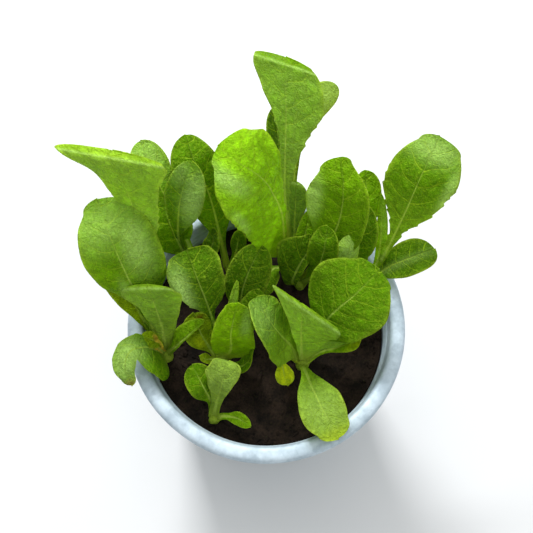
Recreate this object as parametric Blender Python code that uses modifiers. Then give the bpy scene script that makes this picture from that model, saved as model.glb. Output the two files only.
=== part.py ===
"""Young romaine lettuce plants growing close together in a round sheet steel pot.

The origin is the centre of the pot's underside and +Z is up. Leaf places are written in
millimetres from the pot's axis, with heights above the soil.
"""

import math
from dataclasses import dataclass

import bmesh
import bpy
from mathutils import Vector, noise
import numpy as np

MM = 0.001

# Pot
POT_HEIGHT = 130.0
RIM_RADIUS = 75.0
RIM_HALF_WIDTH = 4.2
RIM_HALF_HEIGHT = 3.6
RIM_ARC_DEGREES = 255.0
BASE_RADIUS = 56.0
BASE_EDGE = 1.0
SHEET = 1.2
RIM_ARC_STEPS = 9
POT_STEPS = 56

# Soil
SOIL_BELOW_RIM = 18.0
SOIL_RELIEF = 1.4
SOIL_TO_WALL = 0.7
SOIL_RINGS = 8
SOIL_STEPS = 40
GAP = 0.3

# Plants
CROWN_RADIUS = 2.0
CROWN_RADIUS_PER_LEAF = 0.32
CROWN_TOP = 5.0
CROWN_DEPTH = 9.0
CROWN_TAPER = 0.7
CROWN_SIDES = 8
BLADE_THICKNESS = 0.8
RIB_THICKNESS = 3.0
STALK_THICKNESS = 1.8
CREASE_RADIUS = 3.0
TOOTH_DEPTH = 0.07
TOOTHED_SHARE = 0.62
TIP_CROWDING = 1.5
SPAN_SAMPLES = 24
ROUTE_SAMPLES = 160

# Least leaf length in millimetres, with the rows and columns of points of its blade
BLADE_GRIDS = ((90, 17, 5), (58, 13, 5), (30, 9, 5), (0, 7, 3))

SOIL_LEVEL = POT_HEIGHT - SOIL_BELOW_RIM
WALL_RADIUS = RIM_RADIUS - 2 * RIM_HALF_WIDTH


@dataclass(frozen=True)
class Leaf:
    """One leaf: its midrib, the half widths on both sides and how the blade turns.

    The spine runs from the crown to the tip. Each side gives its half width and where
    along the blade it is widest. Roll is in degrees at the base and at the tip; cup is
    the rise of the margins there as a share of the half width. Blade is the share of the
    length where the stalk ends and base how slowly the blade opens there. A hook gives
    how far the blade goes on past a crease, and in degrees the crease's slant and how far
    the tip bends over backwards along it.
    """

    spine: tuple
    left: tuple
    right: tuple
    blade: float = 0.3
    stalk: float = 1.8
    roll: tuple = (0.0, 0.0)
    cup: tuple = (0.1, 0.1)
    fold: float = 0.0
    base: float = 1.4
    hook: tuple = (0.0, 0.0, 0.0)
    wave: float = 0.6
    toothed: bool = False


PLANTS = {
    "lettuce_back": (
        Leaf(((13, 41, 1), (8, 62, 46), (7, 90, 77), (6, 108, 91)), (16, .82), (18, .82), .3,
             roll=(0, 12), base=2.8, hook=(9, 32, 80), toothed=True),
        Leaf(((11, 43, 1), (7, 74, 30), (3, 97, 52), (1, 108, 58)), (9, .55), (4, .55), .35, roll=(-35, -35)),
        Leaf(((15, 43, 1), (13, 78, 38), (20, 106, 60), (34, 119, 66)), (8, .75), (8, .7), .55, cup=(0, -.15)),
        Leaf(((12, 40, 1), (9, 46, 20), (6, 53, 46), (-3, 60, 69), (-16, 67, 80), (-26, 78, 80)),
             (22, .5), (17, .68), .16, roll=(-5, 0), cup=(.1, -.2), base=.8, toothed=True),
        Leaf(((15, 41, 1), (13, 52, 22), (15, 60, 36), (24, 60, 40)), (2.5, .6), (2.5, .6), .5, roll=(0, 50)),
        Leaf(((11, 38, 1), (3, 33, 11), (0, 25, 17), (-1, 15, 18)), (6, .6), (6, .6), .15),
    ),
    "lettuce_back_left": (
        Leaf(((-23, 36, 1), (-27, 48, 22), (-33, 63, 45), (-41, 76, 60), (-45, 88, 61)),
             (14, .64), (13, .6), .15, cup=(.1, -.05)),
        Leaf(((-21, 36, 1), (-18, 42, 14), (-16, 50, 24)), (4, .6), (5, .6), .3),
    ),
    "lettuce_far_left": (
        Leaf(((-42, 36, 1), (-43, 41, 16), (-50, 55, 31), (-60, 75, 50), (-66, 87, 55)),
             (10, .7), (10, .7), .4),
        Leaf(((-42, 36, 1), (-50, 42, 20), (-50, 48, 46), (-47, 55, 66), (-43, 64, 74)),
             (9, .6), (13, .6), .3),
        Leaf(((-42, 36, 1), (-48, 41, 16), (-54, 50, 32), (-58, 61, 38)), (14, .6), (12, .6), .2),
    ),
    "lettuce_left": (
        Leaf(((-55, -15, 1), (-59, 13, 36), (-67, 37, 76), (-74, 49, 99)), (28, .91), (26, .87), .3,
             roll=(10, 25), cup=(.1, 0), base=4.4, hook=(8, 28, 80), toothed=True),
        Leaf(((-55, -15, 1), (-63, -1, 28), (-71, 11, 56), (-78, 25, 76), (-84, 41, 80)),
             (19, .68), (23, .62), .25, roll=(0, 8), cup=(.1, -.1), base=1.3),
        Leaf(((-55, -15, 1), (-55, -8, 16), (-58, 1, 40), (-61, 5, 50)), (15, .75), (12, .65), .2,
             roll=(0, 18), hook=(6, 14, 85)),
        Leaf(((-55, -15, 1), (-63, -5, 14), (-73, 8, 34), (-82, 18, 46), (-88, 24, 46)),
             (8, .65), (14, .65), .2),
        Leaf(((-55, -15, 1), (-56, -18, 12), (-59, -24, 25), (-68, -29, 30), (-77, -32, 24)),
             (13, .5), (11, .5), .1, cup=(0, -.2)),
        Leaf(((-55, -15, 1), (-56, -13, 14), (-61, -13, 23), (-66, -12, 24)), (4.5, .65), (4.5, .65), .4),
        Leaf(((-55, -15, 1), (-57, -15, 9), (-58, -12, 14), (-58, -10, 15)), (3, .6), (3, .6), .3),
        Leaf(((-55, -15, 1), (-49, -14, 12), (-41, -9, 20), (-33, -2, 22)), (7, .5), (1, .5), .2),
    ),
    "lettuce_middle": (
        Leaf(((-24, -16, 1), (-19, -16, 14), (-18, -11, 36), (-15, 0, 48)), (9, .5), (11, .5), .12, base=1),
        Leaf(((-26, -16, 1), (-26, -9, 12), (-28, 1, 32), (-34, 13, 47), (-40, 27, 51)),
             (15, .62), (13, .6), .25, base=1, toothed=True),
        Leaf(((-26, -16, 1), (-31, -14, 7), (-36, -10, 12), (-40, -3, 15)), (8, .55), (8, .55), .15),
        Leaf(((-24, -18, 1), (-14, -23, 10), (-9, -22, 18), (-7, -17, 22)), (5, .6), (5, .6), .2),
        Leaf(((-26, -17, 1), (-30, -19, 8), (-32, -20, 12), (-35, -19, 13)), (3, .6), (4, .6), .3),
        Leaf(((-23, -14, 1), (-12, -2, 14), (-7, 5, 26), (-4, 13, 32)), (8, .62), (8, .62), .25),
        Leaf(((-23, -14, 1), (-16, 4, 10), (-13, 17, 24), (-8, 28, 33), (-3, 37, 35)),
             (11, .6), (12, .6), .3, base=1),
        Leaf(((-24, -14, 1), (-20, 0, 16), (-18, 10, 28), (-16, 17, 34)), (2, .5), (3, .5), .15),
    ),
    "lettuce_right_of_middle": (
        Leaf(((19, 29, 1), (28, 36, 23), (36, 45, 48), (37, 57, 68), (35, 71, 74)), (17, .6), (15, .6), .2,
             roll=(0, -8), cup=(.1, 0)),
        Leaf(((19, 28, 1), (27, 32, 18), (30, 39, 32), (30, 49, 41)), (9, .6), (9, .6), .15, base=1),
        Leaf(((17, 30, 1), (17, 37, 16), (20, 48, 30), (22, 58, 36)), (5, .55), (6, .55), .2),
        Leaf(((18, 27, 1), (14, 25, 10), (18, 32, 26), (27, 42, 36)), (8, .55), (4, .55), .12,
             base=.9, fold=.3),
        Leaf(((19, 27, 1), (24, 30, 14), (30, 37, 24)), (2, .6), (3, .6), .2),
    ),
    "lettuce_right": (
        Leaf(((50, 26, 1), (60, 33, 22), (68, 49, 50), (77, 64, 69), (87, 84, 74)), (16, .65), (20, .62), .26,
             roll=(0, -10), cup=(.1, -.12), toothed=True),
        Leaf(((50, 25, 1), (60, 29, 18), (68, 31, 29), (80, 34, 36), (91, 40, 33)), (10, .68), (10, .6), .25),
        Leaf(((50, 27, 1), (54, 29, 12), (59, 33, 23), (60, 46, 38), (58, 60, 54)), (2.5, .5), (3.5, .5), .2),
        Leaf(((48, 27, 1), (47, 34, 20), (49, 43, 40), (49, 55, 53)), (8, .6), (9, .6), .2),
        Leaf(((48, 28, 1), (51, 42, 28), (52, 59, 48), (51, 73, 56)), (7, .7), (8, .7), .4),
        Leaf(((47, 27, 1), (43, 31, 13), (44, 36, 26), (47, 43, 30)), (6, .6), (6, .6), .15, cup=(-.2, -.2)),
        Leaf(((49, 28, 1), (50, 32, 13), (52, 37, 22), (53, 41, 24)), (3, .6), (3, .6), .2),
    ),
    "lettuce_front": (
        Leaf(((21, -17, 1), (25, -8, 14), (34, 0, 34), (45, 7, 47), (57, 19, 51)), (20, .6), (19, .58), .15,
             roll=(0, -12), cup=(.1, -.1), base=1.1),
        Leaf(((20, -18, 1), (19, -12, 26), (18, -8, 50), (19, -4, 63)), (15, .84), (26, .74), .2,
             roll=(0, 10), cup=(.1, -.05), hook=(7, 42, 85)),
        Leaf(((19, -18, 1), (14, -13, 14), (6, -10, 34), (0, -4, 43), (-5, 5, 44)), (14, .5), (15, .55), .15,
             base=.9, toothed=True),
        Leaf(((21, -18, 1), (29, -13, 10), (39, -12, 18), (50, -9, 22)), (4, .6), (5, .6), .2),
        Leaf(((20, -18, 1), (14, -21, 7), (12, -25, 10), (12, -33, 12)), (6, .55), (6, .55), .4),
        Leaf(((20, -19, 1), (21, -24, 12), (25, -37, 22), (31, -51, 28), (38, -63, 27)),
             (12, .58), (12, .58), .15),
    ),
    "seedling_front_left": (
        Leaf(((-27, -50, 1), (-29, -43, 10), (-34, -37, 22), (-40, -27, 26)), (8, .65), (8, .6), .3, base=1.1),
        Leaf(((-27, -50, 1), (-25, -44, 14), (-22, -37, 28), (-20, -28, 34), (-19, -26, 33)),
             (9, .8), (9, .8), .3),
        Leaf(((-26, -50, 1), (-22, -49, 4), (-14, -51, 10), (-7, -55, 10)), (3.5, .6), (3.5, .6), .25),
    ),
}


def clear_scene():
    for item in list(bpy.data.objects):
        bpy.data.objects.remove(item, do_unlink=True)


def new_collection(name):
    collection = bpy.data.collections.new(name)
    bpy.context.scene.collection.children.link(collection)
    return collection


def principled(name, colour, roughness, metallic=0.0):
    material = bpy.data.materials.new(name)
    material.use_nodes = True
    shader = material.node_tree.nodes["Principled BSDF"]
    shader.inputs["Base Color"].default_value = (*colour, 1.0)
    shader.inputs["Roughness"].default_value = roughness
    shader.inputs["Metallic"].default_value = metallic
    return material


def mesh_object(name, bm, collection, material):
    mesh = bpy.data.meshes.new(name)
    bm.to_mesh(mesh)
    bm.free()
    item = bpy.data.objects.new(name, mesh)
    collection.objects.link(item)
    item.data.materials.append(material)
    return item


def evaluated_copy(item):
    """The object's mesh as its modifiers leave it."""
    graph = bpy.context.evaluated_depsgraph_get()
    return bpy.data.meshes.new_from_object(item.evaluated_get(graph))


def turned(name, profile, steps, collection, material):
    """A solid turned about +Z from a profile in millimetres that runs down its outer side."""
    bm = bmesh.new()
    spots = [bm.verts.new((radius * MM, 0.0, height * MM)) for radius, height in profile]
    for first, second in zip(spots, spots[1:]):
        bm.edges.new((first, second))
    item = mesh_object(name, bm, collection, material)
    screw = item.modifiers.new("turn", "SCREW")
    screw.steps = steps
    screw.render_steps = steps
    screw.use_merge_vertices = True
    screw.merge_threshold = 0.00001
    screw.use_normal_calculate = True
    return item


def wall_radius_at(height):
    """Inner radius of the tapered wall at a height above the pot's underside."""
    share = (height - SHEET) / (POT_HEIGHT - SHEET)
    return BASE_RADIUS - SHEET + (WALL_RADIUS - BASE_RADIUS + SHEET) * share


def pot_profile():
    """Inner floor, up the inner wall, over the rolled rim and down the outer wall."""
    rim_centre = RIM_RADIUS - RIM_HALF_WIDTH
    rim_level = POT_HEIGHT - RIM_HALF_HEIGHT
    profile = [(0.0, SHEET), (BASE_RADIUS - SHEET, SHEET)]
    for step in range(RIM_ARC_STEPS + 1):
        angle = math.pi - math.radians(RIM_ARC_DEGREES) * step / RIM_ARC_STEPS
        radius = rim_centre + RIM_HALF_WIDTH * math.cos(angle)
        profile.append((radius, rim_level + RIM_HALF_HEIGHT * math.sin(angle)))
    under_rim = profile[-1][1] - SHEET / 2
    profile.append((wall_radius_at(under_rim) + SHEET, under_rim))
    profile.append((wall_radius_at(2 * BASE_EDGE) + SHEET, 2 * BASE_EDGE))
    profile.append((BASE_RADIUS - BASE_EDGE, 0.0))
    profile.append((0.0, 0.0))
    return profile


def soil_height(x, y):
    """Rough surface of the potting mix, never above its level, in millimetres."""
    lump = noise.noise(Vector((x * 0.09, y * 0.09, 0.4)))
    crumb = noise.noise(Vector((x * 0.27, y * 0.27, 3.1)))
    return SOIL_LEVEL - SOIL_RELIEF * (0.5 - 0.35 * lump - 0.15 * crumb)


def crown_of(leaves):
    """Centre and radius of a plant where it leaves the soil, from its leaves' bases."""
    x = sum(leaf.spine[0][0] for leaf in leaves) / len(leaves)
    y = sum(leaf.spine[0][1] for leaf in leaves) / len(leaves)
    return x, y, CROWN_RADIUS + CROWN_RADIUS_PER_LEAF * len(leaves)


def build_soil(parts, cutters, material):
    """Potting mix that fills the pot, with a plain hole for each plant's crown."""
    bm = bmesh.new()
    rings = [[bm.verts.new((0, 0, soil_height(0, 0) * MM))]]
    edge = wall_radius_at(SOIL_LEVEL) - SOIL_TO_WALL
    for ring in range(1, SOIL_RINGS + 1):
        radius = edge * ring / SOIL_RINGS
        row = []
        for step in range(SOIL_STEPS):
            angle = 2 * math.pi * (step + 0.5 * (ring % 2)) / SOIL_STEPS
            x, y = radius * math.cos(angle), radius * math.sin(angle)
            row.append(bm.verts.new((x * MM, y * MM, soil_height(x, y) * MM)))
        rings.append(row)
    floor = (SHEET + GAP) * MM
    inward = (wall_radius_at(SHEET + GAP) - SOIL_TO_WALL) / edge
    foot_row = [bm.verts.new((v.co.x * inward, v.co.y * inward, floor)) for v in rings[-1]]
    middle = bm.verts.new((0, 0, floor))
    for step in range(SOIL_STEPS):
        after = (step + 1) % SOIL_STEPS
        bm.faces.new((rings[0][0], rings[1][step], rings[1][after]))
        for inner, outer in zip(rings[1:], rings[2:] + [foot_row]):
            bm.faces.new((inner[step], outer[step], outer[after], inner[after]))
        bm.faces.new((foot_row[after], foot_row[step], middle))
    bmesh.ops.triangulate(bm, faces=bm.faces[:])
    bmesh.ops.recalc_face_normals(bm, faces=bm.faces[:])
    soil = mesh_object("soil", bm, parts, material)
    for name, leaves in PLANTS.items():
        x, y, radius = crown_of(leaves)
        cutter = tapered_plug("hole_" + name, x, y, radius + 2 * GAP, CROWN_DEPTH + GAP, cutters, material)
        cutter.hide_render = True
        cutter.display_type = "WIRE"
        hole = soil.modifiers.new("hole_" + name, "BOOLEAN")
        hole.operation = "DIFFERENCE"
        hole.object = cutter
    return soil


def tapered_plug(name, x, y, radius, depth, collection, material):
    """Root or hole, narrower below, upright at a place in the soil."""
    bm = bmesh.new()
    bmesh.ops.create_cone(bm, cap_ends=True, segments=CROWN_SIDES, radius1=radius * CROWN_TAPER * MM,
                          radius2=radius * MM, depth=(depth + CROWN_TOP) * MM)
    item = mesh_object(name, bm, collection, material)
    item.location = (x * MM, y * MM, (SOIL_LEVEL + (CROWN_TOP - depth) / 2) * MM)
    return item


def smooth_route(points):
    """Centripetal Catmull-Rom curve through the points, evenly spaced by length."""
    knots = np.array(points, dtype=float)
    knots = np.vstack([2 * knots[0] - knots[1], knots, 2 * knots[-1] - knots[-2]])
    route = []
    for p0, p1, p2, p3 in zip(knots, knots[1:], knots[2:], knots[3:]):
        t1 = math.sqrt(np.linalg.norm(p1 - p0))
        t2 = t1 + math.sqrt(np.linalg.norm(p2 - p1))
        t3 = t2 + math.sqrt(np.linalg.norm(p3 - p2))
        for t in np.linspace(t1, t2, SPAN_SAMPLES, endpoint=False):
            a1 = (t1 - t) / t1 * p0 + t / t1 * p1
            a2 = (t2 - t) / (t2 - t1) * p1 + (t - t1) / (t2 - t1) * p2
            a3 = (t3 - t) / (t3 - t2) * p2 + (t - t2) / (t3 - t2) * p3
            b1 = (t2 - t) / t2 * a1 + t / t2 * a2
            b2 = (t3 - t) / (t3 - t1) * a2 + (t - t1) / (t3 - t1) * a3
            route.append((t2 - t) / (t2 - t1) * b1 + (t - t1) / (t2 - t1) * b2)
    route.append(knots[-2])
    route = np.array(route)
    run = lengths_along(route)
    return sampled(route, run, np.linspace(0, run[-1], ROUTE_SAMPLES))


def sampled(values, run, spots):
    """Vectors given at the lengths in run, read off at other lengths."""
    return np.stack([np.interp(spots, run, values[:, axis]) for axis in range(3)], axis=-1)


def lengths_along(route):
    """Length from the first point of a route to each of its points."""
    return np.concatenate([[0.0], np.cumsum(np.linalg.norm(np.diff(route, axis=0), axis=1))])


def side_vectors(route, roll):
    """Tangents and sideways vectors, carried along the midrib from its middle, then rolled."""
    tangent = np.gradient(route, axis=0)
    tangent /= np.linalg.norm(tangent, axis=1)[:, None]
    count = len(route)
    middle = count // 2
    side = np.zeros_like(route)
    start = np.cross(tangent[middle], (0.0, 0.0, 1.0))
    side[middle] = start / np.linalg.norm(start)
    for steps in (range(middle + 1, count), range(middle - 1, -1, -1)):
        carried = side[middle]
        for index in steps:
            carried = carried - tangent[index] * np.dot(carried, tangent[index])
            carried = carried / np.linalg.norm(carried)
            side[index] = carried
    angle = np.radians(np.linspace(roll[0], roll[1], count))[:, None]
    return tangent, np.cos(angle) * side + np.sin(angle) * np.cross(side, tangent)


def half_width(share, leaf, side):
    """Half width along the leaf: a narrow winged stalk that opens into a rounded blade."""
    width, widest = side
    along = np.clip((share - leaf.blade) / (1 - leaf.blade), 0, 1)
    opening = np.sin(math.pi / 2 * np.clip(along / widest, 0, 1)) ** leaf.base
    closing = np.sqrt(np.clip(1 - (np.clip(along - widest, 0, 1) / (1 - widest)) ** 2.2, 0, 1))
    body = width * np.where(along < widest, opening, closing)
    stalk = leaf.stalk * np.clip((1 - share) * 4, 0, 1) * np.clip(1 - body / width, 0, 1) ** 0.5
    return np.sqrt(body ** 2 + stalk ** 2)


def leaf_frame(leaf):
    """Midrib, tangents, sideways vectors and normals, run on straight past a crease."""
    route = smooth_route(leaf.spine)
    tangent, side = side_vectors(route, leaf.roll)
    reach = leaf.hook[0]
    if reach:
        route = np.vstack([route, route[-1] + tangent[-1] * reach])
        tangent = np.vstack([tangent, tangent[-1]])
        side = np.vstack([side, side[-1]])
    return route, tangent, side, np.cross(side, tangent)


def bent_over(spot, crease, tangent, side, up, hook):
    """Where a point of the flat blade comes to lie once the tip is bent over the crease."""
    slant, most = math.radians(hook[1]), math.radians(hook[2])
    beyond = side * math.sin(slant) + tangent * math.cos(slant)
    past = np.dot(spot - crease, beyond)
    if past <= 0:
        return spot
    angle = min(past / CREASE_RADIUS, most)
    straight = past - angle * CREASE_RADIUS
    forward = CREASE_RADIUS * math.sin(angle) + straight * math.cos(angle)
    down = CREASE_RADIUS * (1 - math.cos(angle)) + straight * math.sin(angle)
    return spot + beyond * (forward - past) - up * down


def blade_grid(length):
    """Rows and columns of a blade: longer leaves get more, so that they curve smoothly."""
    for least, rows, columns in BLADE_GRIDS:
        if length > least:
            break
    return rows, columns


def leaf_object(name, leaf, collection, material):
    """One closed blade with a thicker midrib, made from a curved grid and Solidify."""
    route, tangent, side, normal = leaf_frame(leaf)
    crease = smooth_route(leaf.spine)[-1]
    run = lengths_along(route)
    rows, columns = blade_grid(run[-1])
    share = 1 - (1 - np.linspace(0, 1, rows)) ** TIP_CROWDING
    midrib, up = sampled(route, run, share * run[-1]), sampled(normal, run, share * run[-1])
    slant = math.tan(math.radians(leaf.hook[1])) * share[:, None]
    across = sampled(side, run, share * run[-1]) - sampled(tangent, run, share * run[-1]) * slant
    cup = leaf.cup[0] + (leaf.cup[1] - leaf.cup[0]) * share
    widths = {-1: half_width(share, leaf, leaf.left), 1: half_width(share, leaf, leaf.right)}
    broadest = max(leaf.left[0], leaf.right[0])
    bm = bmesh.new()
    bmesh.ops.create_grid(bm, x_segments=columns - 1, y_segments=rows - 1, size=1.0)
    thickness = {}
    for vertex in bm.verts:
        place = vertex.co.x
        row = round((vertex.co.y + 1) / 2 * (rows - 1))
        width = widths[-1 if place < 0 else 1][row]
        between_teeth = row % 2 and row < rows * TOOTHED_SHARE and share[row] > leaf.blade
        if leaf.toothed and between_teeth and abs(place) > 0.9:
            width *= 1 - TOOTH_DEPTH
        ripple = math.sin(4 * math.pi * share[row] + (1.3 if place > 0 else 0))
        lift = cup[row] * width * place ** 2 + leaf.fold * width * abs(place)
        lift += leaf.wave * ripple * place ** 2 * width / broadest
        spot = midrib[row] + across[row] * width * place + up[row] * lift
        if leaf.hook[0]:
            spot = bent_over(spot, crease, tangent[-1], side[-1], normal[-1], leaf.hook)
        vertex.co = Vector(spot * MM) + Vector((0, 0, SOIL_LEVEL * MM))
        rib = RIB_THICKNESS * (1 - 0.75 * share[row]) if abs(place) < 0.1 else 0
        stalk = STALK_THICKNESS * (1 - 4 * share[row])
        thickness[vertex.index] = max(BLADE_THICKNESS, rib, stalk)
    bmesh.ops.triangulate(bm, faces=bm.faces[:])
    item = mesh_object(name, bm, collection, material)
    group = item.vertex_groups.new(name="thickness")
    for index, value in thickness.items():
        group.add([index], value / RIB_THICKNESS, "REPLACE")
    weld = item.modifiers.new("tip", "WELD")
    weld.merge_threshold = 0.00002
    shell = item.modifiers.new("blade", "SOLIDIFY")
    shell.thickness = RIB_THICKNESS * MM
    shell.offset = 0.0
    shell.vertex_group = "thickness"
    shell.use_even_offset = False
    shell.use_rim = True
    return item


def keep_largest_piece(mesh):
    """Drop the loose scraps that a union can leave where two thin blades cross."""
    bm = bmesh.new()
    bm.from_mesh(mesh)
    left = set(bm.verts)
    pieces = []
    while left:
        piece = set()
        waiting = [left.pop()]
        while waiting:
            vertex = waiting.pop()
            piece.add(vertex)
            near = {edge.other_vert(vertex) for edge in vertex.link_edges} & left
            left -= near
            waiting.extend(near)
        pieces.append(piece)
    pieces.sort(key=len)
    for piece in pieces[:-1]:
        bmesh.ops.delete(bm, geom=list(piece), context="VERTS")
    bm.to_mesh(mesh)
    bm.free()


def build_plant(name, leaves, parts, material):
    """A crown with its leaves sunk into it, joined into one body."""
    x, y, radius = crown_of(leaves)
    crown = tapered_plug(name, x, y, radius, CROWN_DEPTH, parts, material)
    blades = new_collection(name + "_blades")
    for number, leaf in enumerate(leaves):
        leaf_object(name + "_leaf_" + str(number), leaf, blades, material)
    joined = crown.modifiers.new("leaves", "BOOLEAN")
    joined.operation = "UNION"
    joined.operand_type = "COLLECTION"
    joined.collection = blades
    joined.solver = "EXACT"
    joined.use_self = True
    solid = evaluated_copy(crown)
    crown.modifiers.clear()
    crown.data = solid
    keep_largest_piece(solid)
    for blade in list(blades.objects):
        bpy.data.objects.remove(blade, do_unlink=True)
    bpy.data.collections.remove(blades)
    return crown


def build():
    clear_scene()
    parts = new_collection("potted_young_romaine")
    cutters = new_collection("cutters")
    steel = principled("galvanised_steel", (0.50, 0.55, 0.58), 0.38, 0.85)
    mix = principled("potting_mix", (0.025, 0.018, 0.012), 0.95)
    green = principled("lettuce_leaf", (0.18, 0.42, 0.03), 0.45)
    pot = turned("pot", pot_profile(), POT_STEPS, parts, steel)
    pot.data.shade_smooth()
    build_soil(parts, cutters, mix)
    for name, leaves in PLANTS.items():
        build_plant(name, leaves, parts, green)


build()
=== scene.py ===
"""Young romaine lettuce plants growing in a round galvanised steel pot.

Lengths are in millimetres until a mesh is made. Leaf places are measured from the pot's
axis, with heights above the soil; the model itself is in metres with +Z up.
"""

from __future__ import annotations

from dataclasses import dataclass, field
from enum import Enum
import logging
import math
import random

import bmesh
import bpy
from mathutils import Matrix, Vector, noise
import numpy as np

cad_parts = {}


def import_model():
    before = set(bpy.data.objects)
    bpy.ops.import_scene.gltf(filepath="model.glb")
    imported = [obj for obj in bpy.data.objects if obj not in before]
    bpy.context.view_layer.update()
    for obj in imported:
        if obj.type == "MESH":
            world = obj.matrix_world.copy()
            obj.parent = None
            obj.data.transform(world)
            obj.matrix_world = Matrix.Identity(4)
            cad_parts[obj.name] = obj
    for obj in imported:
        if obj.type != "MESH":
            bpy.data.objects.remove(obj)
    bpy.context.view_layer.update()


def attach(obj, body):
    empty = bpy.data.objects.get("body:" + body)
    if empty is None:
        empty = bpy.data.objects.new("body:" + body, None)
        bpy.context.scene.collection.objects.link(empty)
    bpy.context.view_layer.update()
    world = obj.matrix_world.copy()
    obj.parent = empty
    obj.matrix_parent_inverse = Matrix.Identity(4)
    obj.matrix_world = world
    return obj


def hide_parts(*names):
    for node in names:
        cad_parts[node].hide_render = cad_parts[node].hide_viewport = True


MM = 0.001
Colour = tuple[float, float, float]
Place = tuple[float, float, float]
log = logging.getLogger("potted_romaine")


class Slot(Enum):
    """Material slots of the record."""

    STEEL = "galvanised_steel"
    MIX = "potting_mix"
    LEAF = "lettuce_leaf"


class Tone(Enum):
    """Greens of the upper leaf faces, in linear light."""

    BRIGHT = (0.215, 0.47, 0.016)
    FRESH = (0.175, 0.385, 0.006)
    MID = (0.125, 0.30, 0.005)
    DEEP = (0.085, 0.225, 0.005)
    DARK = (0.058, 0.16, 0.005)
    OLIVE = (0.15, 0.265, 0.005)
    GREY = (0.17, 0.30, 0.062)
    PALE = (0.27, 0.50, 0.085)
    YELLOW = (0.36, 0.50, 0.018)
    # Painted sheen: whitish green that stands for light glancing off a blade.
    PAINTED_SHEEN = (0.33, 0.60, 0.17)
    # Pale margin green: partly paler edge tissue, partly painted highlight where an edge catches the light.
    MARGIN = (0.42, 0.58, 0.14)
    STRAW = (0.44, 0.40, 0.10)
    BROWN = (0.13, 0.055, 0.014)


@dataclass(frozen=True)
class Patch:
    """A part of a leaf in another tone: painted sheen, a painted highlight on a bent-over tip, yellowing or a
    brown spot.

    Share and place give its centre along and across the blade, and length and width its
    size in millimetres.
    """

    tone: Tone
    share: float
    place: float
    length: float
    width: float
    strength: float = 0.6


@dataclass(frozen=True)
class Leaf:
    """One leaf: midrib, half widths on both sides, how the blade turns, and its greens.

    The spine runs from the crown to the tip. Each side gives its half width and where
    along the blade it is widest. Roll is in degrees at the base and at the tip, cup the
    rise of the margins as a share of the half width. Blade is the share of the length
    where the stalk ends, and base how slowly the blade opens there. A hook gives how far
    the blade goes on past a crease, and in degrees the crease's slant and how far the
    tip bends over backwards along it. An outline takes the place of the half widths with
    knots of length share, left half width and right half width.
    """

    spine: tuple[Place, ...]
    left: tuple[float, float] = (8.0, 0.6)
    right: tuple[float, float] = (8.0, 0.6)
    blade: float = 0.3
    stalk: float = 1.8
    roll: tuple[float, float] = (0.0, 0.0)
    cup: tuple[float, float] = (0.1, 0.1)
    fold: float = 0.0
    base: float = 1.4
    hook: tuple[float, float, float] = (0.0, 0.0, 0.0)
    outline: tuple[tuple[float, float, float], ...] = ()
    wave: float = 0.6
    teeth: float = 0.0
    tone: Tone = Tone.MID
    foot_tone: Tone | None = None
    patches: tuple[Patch, ...] = ()


@dataclass(frozen=True)
class PlantPlan:
    """The leaves of one plant and the name of its piece and CAD node."""

    node: str
    piece: str
    leaves: tuple[Leaf, ...]


def painted_sheen(share: float, place: float, length: float, width: float, strength: float = 0.5) -> Patch:
    """Painted sheen on a leaf: a whitish patch that stands for light glancing off the blade.

    Args:
        share: Centre along the leaf.
        place: Centre across the leaf, from -1 to 1.
        length: Length in millimetres.
        width: Width in millimetres.
        strength: How far the green gives way.

    Returns:
        The patch.
    """
    return Patch(Tone.PAINTED_SHEEN, share, place, length, width, strength)


# Bloom patches on these leaves are painted sheen: whitish patches that stand for light glancing off the blades.
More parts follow.
